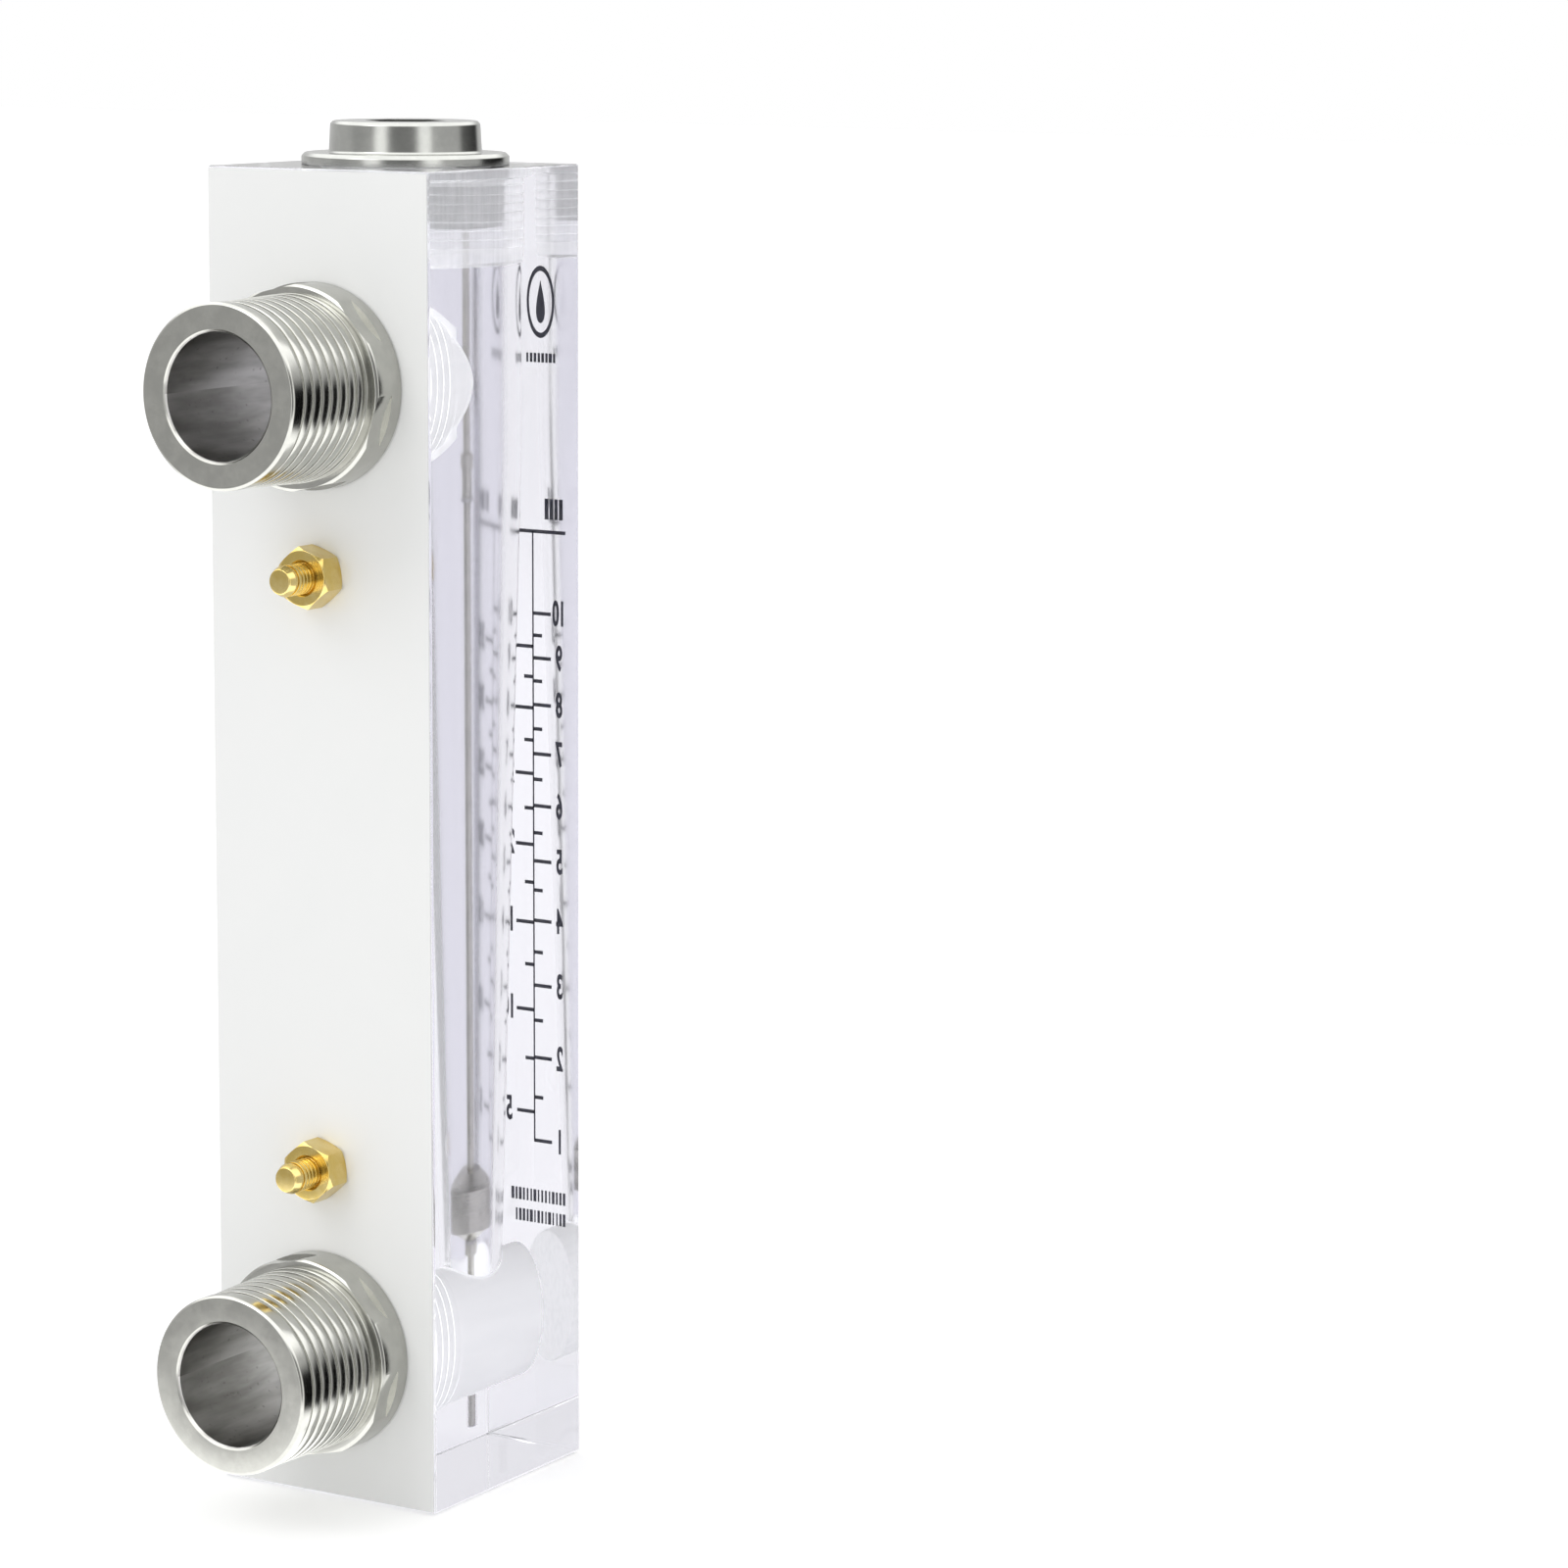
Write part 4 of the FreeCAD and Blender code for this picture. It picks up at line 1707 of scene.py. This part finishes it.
class MarksTree(GeometryTree):
    """A row of scale marks: each one's height follows the float's law, and every other one is long."""

    def __init__(self) -> None:
        """Build the tree."""
        super().__init__("scale_marks", ("Count",), (
            "First Flow", "Flow Step", "Law Height", "Law Gain", "Law Rate",
            "Centre X", "Face Y", "Side", "Long", "Short", "Line", "Depth",
        ))
        index = self.wire(self.node("GeometryNodeInputIndex"))
        flow = self.value("First Flow") + index * self.value("Flow Step")
        height = self.value("Law Height") + self.value("Law Gain") * (1.0 + self.value("Law Rate") * flow).root()
        odd = index.math("MODULO", 2.0)
        length = self.value("Long") * (1.0 - odd) + self.value("Short") * odd
        across = self.value("Centre X") + self.value("Side") * length * 0.5
        place = self.vector(across, self.value("Face Y"), height)
        self.row(place, self.vector(length, self.value("Depth"), self.value("Line")))


class BarsTree(GeometryTree):
    """A row of plain bars of uneven widths, as a stand-in for a printed line."""

    def __init__(self) -> None:
        """Build the tree."""
        super().__init__("plain_bars", ("Count", "Seed"), (
            "First X", "Spacing", "Face Y", "Height", "Bar Height", "Least Width", "Most Width", "Depth",
        ))
        index = self.wire(self.node("GeometryNodeInputIndex"))
        across = self.value("First X") - index * self.value("Spacing")
        place = self.vector(across, self.value("Face Y"), self.value("Height"))
        width = self.node("FunctionNodeRandomValue", {"data_type": "FLOAT"}, {
            "Min": self.value("Least Width"),
            "Max": self.value("Most Width"),
            "Seed": self.value("Seed"),
        })
        self.row(place, self.vector(self.wire(width, "Value"), self.value("Depth"), self.value("Bar Height")))


@dataclass
class PrintedScale:
    """The print on the front face: marks and numbers for two units, rules, a droplet and plain bars."""

    places: Places
    ink: bpy.types.Material
    centre: float = 1.0
    law_height: float = -27.90
    law_gain: float = 64.81
    law_rate: float = 0.645
    long_mark: float = 8.2
    short_mark: float = 4.1
    mark_line: float = 0.62
    coat: float = 0.08
    sunk: float = 0.025
    centre_line: float = 0.5
    line_foot: float = 55.0
    rule_height: float = 163.3
    rule_reach: float = 15.0
    number_height: float = 4.4
    number_place: float = 12.0
    number_boldness: float = 0.15
    em_share: float = 0.73
    least_bar: float = 0.45
    badge: tuple[float, float] = (4.8, 203.0)
    ring: float = 6.2
    ring_width: float = 0.9
    ring_steps: int = 48
    drop: float = 2.7
    drop_stretch: float = 1.35
    drop_point: float = 1.4
    drop_steps: int = 40

    def face(self) -> float:
        """Where the middle of the ink lies: partly in the acrylic, so that it shows from inside too."""
        return self.places.block_front - self.sunk

    def height(self, gallons: float) -> float:
        """The height of a flow's mark."""
        return self.law_height + self.law_gain * math.sqrt(1.0 + self.law_rate * gallons)

    def marks(self, tree: MarksTree, unit: Unit) -> bpy.types.Object:
        """Make one side's marks.

        Args:
            tree: The node tree that lays them out.
            unit: The unit that they are in.

        Returns:
            The marks as one mesh.
        """
        return tree.make(f"marks_{unit.side.name.lower()}", {
            "Count": unit.marks,
            "First Flow": unit.first * unit.gallons,
            "Flow Step": unit.step * unit.gallons,
            "Law Height": self.law_height * MM,
            "Law Gain": self.law_gain * MM,
            "Law Rate": self.law_rate,
            "Centre X": self.centre * MM,
            "Face Y": self.face() * MM,
            "Side": unit.side.value,
            "Long": self.long_mark * MM,
            "Short": self.short_mark * MM,
            "Line": self.mark_line * MM,
            "Depth": self.coat * MM,
            "Material": self.ink,
        })

    def stroke(self, name: str, left: float, right: float, low: float, high: float) -> bpy.types.Object:
        """Make one printed bar.

        Args:
            name: Its name.
            left: Its lower X in millimetres.
            right: Its higher X.
            low: The height of its foot.
            high: The height of its head.

        Returns:
            The bar.
        """
        face = self.face()
        half = self.coat / 2.0
        return Bench.brick(name, Vector((left, face - half, low)), Vector((right, face + half, high)))

    def number(self, value: int, unit: Unit) -> bpy.types.Object:
        """Make one number beside its mark.

        Args:
            value: The number.
            unit: The unit that it is in.

        Returns:
            The number as a mesh.
        """
        curve = bpy.data.curves.new("number", "FONT")
        curve.body = str(value)
        curve.size = self.number_height / self.em_share
        curve.offset = self.number_boldness
        curve.extrude = self.coat / 2.0
        curve.align_x = "CENTER"
        curve.align_y = "CENTER"
        text = bpy.data.objects.new("number", curve)
        bpy.context.scene.collection.objects.link(text)
        bpy.context.view_layer.update()
        mesh = bpy.data.meshes.new_from_object(text.evaluated_get(bpy.context.evaluated_depsgraph_get()))
        Bench.drop(text)
        made = Bench.show("number", mesh)
        across = self.centre + unit.side.value * self.number_place
        height = self.height(value * unit.gallons)
        axes = Matrix(((-MM, 0.0, 0.0, 0.0), (0.0, 0.0, MM, 0.0), (0.0, MM, 0.0, 0.0), (0.0, 0.0, 0.0, 1.0)))
        place = Matrix.Translation((across * MM, self.face() * MM, height * MM))
        return Bench.move(made, place @ axes)

    def droplet(self) -> bpy.types.Object:
        """Make a plain ring with a droplet in it.

        Returns:
            The ring and the droplet as one mesh.
        """
        across, up = self.badge
        shape = bmesh.new()
        loops = []
        for radius in (self.ring, self.ring - self.ring_width):
            turns = [math.tau * step / self.ring_steps for step in range(self.ring_steps)]
            loops.append([(across + radius * math.cos(a), up + radius * math.sin(a)) for a in turns])
        tear = []
        for step in range(self.drop_steps):
            angle = math.tau * step / self.drop_steps
            tear.append((
                across + self.drop * math.sin(angle) * math.sin(angle / 2.0) ** self.drop_point,
                up + self.drop * self.drop_stretch * math.cos(angle),
            ))
        depths = (self.face() - self.coat / 2.0, self.face() + self.coat / 2.0)
        outer, inner = [
            [[shape.verts.new((x * MM, y * MM, z * MM)) for x, z in loop] for y in depths] for loop in loops
        ]
        for step in range(self.ring_steps):
            after = (step + 1) % self.ring_steps
            for side in (outer, inner):
                shape.faces.new([side[0][step], side[0][after], side[1][after], side[1][step]])
            for layer in (0, 1):
                shape.faces.new([outer[layer][step], outer[layer][after], inner[layer][after], inner[layer][step]])
        sheets = [[shape.verts.new((x * MM, y * MM, z * MM)) for x, z in tear] for y in depths]
        for sheet in sheets:
            shape.faces.new(sheet)
        for step in range(self.drop_steps):
            after = (step + 1) % self.drop_steps
            shape.faces.new([sheets[0][step], sheets[0][after], sheets[1][after], sheets[1][step]])
        bmesh.ops.recalc_face_normals(shape, faces=shape.faces)
        return Bench.keep("droplet", shape)

    def bars(self, tree: BarsTree, row: BarRow) -> bpy.types.Object:
        """Make one row of plain bars.

        Args:
            tree: The node tree that lays them out.
            row: The row.

        Returns:
            The bars as one mesh.
        """
        return tree.make(row.name, {
            "Count": row.count,
            "Seed": row.seed,
            "First X": row.left * MM,
            "Spacing": row.spacing * MM,
            "Face Y": self.face() * MM,
            "Height": row.height * MM,
            "Bar Height": row.tall * MM,
            "Least Width": self.least_bar * MM,
            "Most Width": (row.spacing - self.least_bar) * MM,
            "Depth": self.coat * MM,
            "Material": self.ink,
        })

    def build(self) -> list[bpy.types.Object]:
        """Make all the print.

        Returns:
            The pieces of print.
        """
        marks = MarksTree()
        bars = BarsTree()
        half = self.centre_line / 2.0
        rule = self.mark_line / 2.0
        units = (GALLON_SCALE, LITRE_SCALE)
        pieces = [self.marks(marks, unit) for unit in units]
        pieces += [
            self.stroke("scale_line", self.centre - half, self.centre + half, self.line_foot, self.rule_height),
            self.stroke("scale_rule", self.centre - self.rule_reach, self.centre + self.rule_reach,
                        self.rule_height - rule, self.rule_height + rule),
            self.droplet(),
        ]
        numbers = [self.number(value, unit) for unit in units for value in unit.numbers]
        pieces.append(Bench.join("scale_numbers", numbers))
        return pieces + [self.bars(bars, row) for row in BAR_ROWS]


@dataclass(frozen=True)
class Strip:
    """A soft-edged upright strip of the surroundings: its middle and two half widths, in degrees."""

    azimuth: float
    core: float
    edge: float

    def share(self, across: Wire, along: Wire, toward: float = 0.0) -> Wire:
        """Say how far a level direction lies in the strip.

        Args:
            across: The direction's x.
            along: The direction's y.
            toward: Where azimuth 0 lies, in degrees from +X towards +Y.

        Returns:
            1 inside its core and 0 past its edge.
        """
        angle = math.radians(toward + self.azimuth)
        near = across * math.cos(angle) + along * math.sin(angle)
        return near.step(math.cos(math.radians(self.edge)), math.cos(math.radians(self.core)))


@dataclass
class Studio:
    """The pale floor, the soft lamp, the surroundings and the camera."""

    azimuth: float = 30.899
    elevation: float = 9.194
    roll: float = 0.334
    eye: tuple[float, float, float] = (505.9, -716.0, 262.7)
    focal_pixels: float = 5248.9
    frame_pixels: float = 1600.0
    sensor: float = 36.0
    floor_size: float = 12.0
    floor_gap: float = 0.3
    floor_lift: float = 0.24
    lamp_size: float = 0.7
    lamp_power: float = 2.4
    lamp_place: tuple[float, float, float] = (-0.35, -0.95, 1.0)
    lamp_aim: tuple[float, float, float] = (0.0, 0.0, 0.11)
    dome: float = 0.86
    screens: float = 0.74
    left_panel: Strip = Strip(-34.0, 5.0, 13.0)
    right_panel: Strip = Strip(34.0, 5.0, 13.0)
    panel_gain: float = 1.05
    centre_screen: Strip = Strip(0.0, 14.0, 24.0)
    centre_loss: float = 0.42
    side_screen: Strip = Strip(-62.0, 12.0, 30.0)
    side_loss: float = 0.16
    doorway: Strip = Strip(61.0, 18.0, 28.0)
    front_drop: float = 0.14
    front_band: tuple[float, float] = (0.0, 0.4)
    sky_band: tuple[float, float] = (0.26, 0.52)
    ground_band: tuple[float, float] = (-0.52, -0.38)
    door_foot: tuple[float, float] = (-0.46, -0.38)
    door_head: tuple[float, float] = (0.02, 0.26)
    least_level: float = 1e-4
    open_light: float = 2.1

    def camera(self) -> None:
        """Place the camera as it stood for the photograph."""
        azimuth = math.radians(self.azimuth)
        elevation = math.radians(self.elevation)
        roll = math.radians(self.roll)
        forward = Vector((
            -math.sin(azimuth) * math.cos(elevation),
            math.cos(azimuth) * math.cos(elevation),
            -math.sin(elevation),
        ))
        level = Vector((math.cos(azimuth), math.sin(azimuth), 0.0))
        upright = level.cross(forward)
        right = level * math.cos(roll) + upright * math.sin(roll)
        up = upright * math.cos(roll) - level * math.sin(roll)
        data = bpy.data.cameras.new("camera")
        data.sensor_width = self.sensor
        data.lens = self.focal_pixels / self.frame_pixels * self.sensor
        made = bpy.data.objects.new("camera", data)
        turn = Matrix((right, up, -forward)).transposed().to_4x4()
        made.matrix_world = Matrix.Translation(Vector(self.eye) * MM) @ turn
        bpy.context.scene.collection.objects.link(made)
        bpy.context.scene.camera = made

    def floor(self) -> None:
        """Lay a pale floor that keeps the part's shadow."""
        shape = bmesh.new()
        under = Matrix.Translation((0.0, 0.0, -self.floor_gap * MM))
        bmesh.ops.create_grid(shape, x_segments=2, y_segments=2, size=self.floor_size / 2.0, matrix=under)
        made = Bench.keep("floor", shape)
        shader = Shader("pale_floor")
        mottle = shader.noise(shader.place(), scale=0.004, detail=2.0)
        path = shader.node("ShaderNodeLightPath")
        seen = shader.wire(path, "Is Camera Ray").most(shader.wire(path, "Is Transmission Ray"))
        made.visible_glossy = False
        paint = {
            "Base Color": shader.blend(mottle, grey(0.96), grey(0.98)),
            "Roughness": 0.9,
            "Specular IOR Level": 0.1,
        }
        lifted = paint | {"Emission Color": grey(1.0), "Emission Strength": self.floor_lift}
        surface = shader.mix(seen, shader.principled(paint), shader.principled(lifted))
        made.data.materials.append(shader.done(surface))

    def lamp(self) -> None:
        """Hang one large soft lamp over the camera's left shoulder."""
        data = bpy.data.lights.new("soft_lamp", "AREA")
        data.shape = "DISK"
        data.size = self.lamp_size
        data.energy = self.lamp_power
        made = bpy.data.objects.new("soft_lamp", data)
        place = Vector(self.lamp_place)
        aim = Vector(self.lamp_aim) - place
        made.matrix_world = Matrix.Translation(place) @ aim.to_track_quat("-Z", "Y").to_matrix().to_4x4()
        bpy.context.scene.collection.objects.link(made)

    def surroundings(self) -> None:
        """Light the part from a plain white room whose reflection has soft grey screens in it."""
        world = bpy.data.worlds.new("room")
        world.use_nodes = True
        world.node_tree.nodes.clear()
        tree = Tree(world.node_tree)
        source = tree.node("ShaderNodeTexCoord")
        split = tree.node("ShaderNodeSeparateXYZ", {}, {0: tree.wire(source, "Generated")})
        x, y, z = tree.wire(split, 0), tree.wire(split, 1), tree.wire(split, 2)
        level = (x * x + y * y).root() + self.least_level
        across, along = x / level, y / level
        toward = -90.0 + self.azimuth
        left = self.left_panel.share(across, along, toward)
        right = self.right_panel.share(across, along, toward)
        centre = self.centre_screen.share(across, along, toward)
        side = self.side_screen.share(across, along, toward)
        shine = (left + right) * self.panel_gain - centre * self.centre_loss - side * self.side_loss
        shine = shine + self.screens
        low = z - (0.0 - along).step(*self.front_band) * self.front_drop
        open_air = z.step(*self.sky_band).most(1.0 - low.step(*self.ground_band))
        shine = shine * (1.0 - open_air) + open_air * self.open_light
        door_height = z.step(*self.door_foot) * (1.0 - z.step(*self.door_head))
        dark = self.doorway.share(across, along) * door_height
        shine = shine * (1.0 - dark)
        path = tree.node("ShaderNodeLightPath")
        plain = tree.wire(path, "Is Camera Ray").most(tree.wire(path, "Is Transmission Ray"))
        glossy = tree.wire(path, "Is Glossy Ray")
        strength = glossy * shine + (1.0 - glossy) * self.dome
        strength = plain + (1.0 - plain) * strength
        sky = tree.node("ShaderNodeBackground", {}, {"Color": (1.0, 1.0, 1.0, 1.0), "Strength": strength})
        tree.node("ShaderNodeOutputWorld", {}, {0: tree.wire(sky)})
        bpy.context.scene.world = world

    def build(self) -> None:
        """Set the whole studio."""
        self.camera()
        self.floor()
        self.lamp()
        self.surroundings()
        bpy.context.scene.view_settings.view_transform = "Standard"


def hand_over(
    piece: bpy.types.Object,
    body: str,
    stands_for: tuple[str, ...] = (),
) -> None:
    """Give a finished piece to its body and report it.

    Args:
        piece: The piece.
        body: The body that it rides on.
        stands_for: The nodes that it replaces.
    """
    if stands_for:
        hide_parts(*stands_for)
    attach(piece, body)
    log.info("%s rides on %s, %d faces", piece.name, body, len(piece.data.polygons))


def dress_nodes(finishes: dict[str, bpy.types.Material]) -> None:
    """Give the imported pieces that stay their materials.

    Args:
        finishes: Each node's material.
    """
    for node, material in finishes.items():
        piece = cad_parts[node]
        piece.data.materials.clear()
        piece.data.materials.append(material)
        log.info("%s dressed in %s", node, material.name)


def main() -> None:
    """Build every piece in order and report it."""
    logging.basicConfig(level=logging.INFO, format="%(message)s")
    Studio().build()
    places = Places.read()
    tree = ThreadTree()

    plug_thread = Thread(
        pitch=1.5,
        start=places.plug_bottom + PLUG_THREAD_FOOT,
        end=places.block_top - PLUG_THREAD_STOP,
        root=14.1,
        height=0.85,
        crest=0.18,
        gap=0.14,
        rounding=0.06,
    )
    spigot_thread = Thread(pitch=1.814, start=-13.7, end=-2.2, root=12.0, height=1.18, crest=0.25, gap=0.2)

    block = ClearBlock(places, tree, plug_thread, spigot_thread)
    clear = Bench.dress(block.build(), block.finish().build(), SHARP_SMOOTH)
    hand_over(clear, BODY, ("meter_block",))

    fitting = PipeFitting(places, tree, spigot_thread)
    lower = fitting.build("inlet_fitting_turned")
    upper = Bench.copy(lower, "outlet_fitting_turned")
    for made, height, node in ((lower, places.inlet, "inlet_fitting"), (upper, places.outlet, "outlet_fitting")):
        Bench.move(made, Bench.to_back(places.film_back, height))
        Bench.dress(made, fitting.finish(f"{node}_steel", height).build(), SHARP_THREADED)
        hand_over(made, BODY, (node,))

    plug = TopPlug(places, tree, plug_thread)
    turned_plug = Bench.dress(plug.build(), plug.finish().build(), SHARP_THREADED)
    hand_over(turned_plug, BODY, ("top_plug",))

    panel_stud = PanelStud(places, tree)
    stud = panel_stud.stud("lower_stud_threaded")
    nut = panel_stud.nut("lower_nut_chamfered")
    studs = {
        "lower": (places.lower_stud, stud, nut),
        "upper": (
            places.upper_stud,
            Bench.copy(stud, "upper_stud_threaded"),
            Bench.copy(nut, "upper_nut_chamfered"),
        ),
    }
    for level, (height, stud, nut) in studs.items():
        brass = panel_stud.finish(f"{level}_brass", height).build()
        for made, node in ((stud, f"{level}_stud"), (nut, f"{level}_stud_nut")):
            Bench.move(made, Bench.to_back(places.film_back, height))
            Bench.dress(made, brass, SHARP_THREADED)
            hand_over(made, BODY, (node,))

    metering_float = MeteringFloat(places)
    turned_float = Bench.dress(metering_float.build(), metering_float.finish().build(), SHARP_SMOOTH)
    hand_over(turned_float, FLOAT_BODY, ("float",))

    ink = SCALE_INK.build()
    for printed in PrintedScale(places, ink).build():
        hand_over(Bench.dress(printed, ink, None), BODY)

    rod_steel = TurnedMetal(
        name="rod_steel",
        axis_point=Vector((0.0, places.bore_axis * MM, 0.0)),
        along=UP,
        tone=(0.66, 0.65, 0.60, 1.0),
        streak_tone=(0.74, 0.73, 0.67, 1.0),
    ).build()
    rubber = SEAL_RUBBER.build()
    bumper = SOFT_PLASTIC.build()
    dress_nodes({
        "back_film": WhiteSheet(bonded=places.block_back).build(),
        "plug_o_ring": rubber,
        "outlet_o_ring": rubber,
        "inlet_o_ring": rubber,
        "guide_rod": rod_steel,
        "upper_float_stop": rod_steel,
        "lower_float_stop": rod_steel,
        "upper_bumper": bumper,
        "lower_bumper": bumper,
    })


if __name__ == "__main__":
    main()
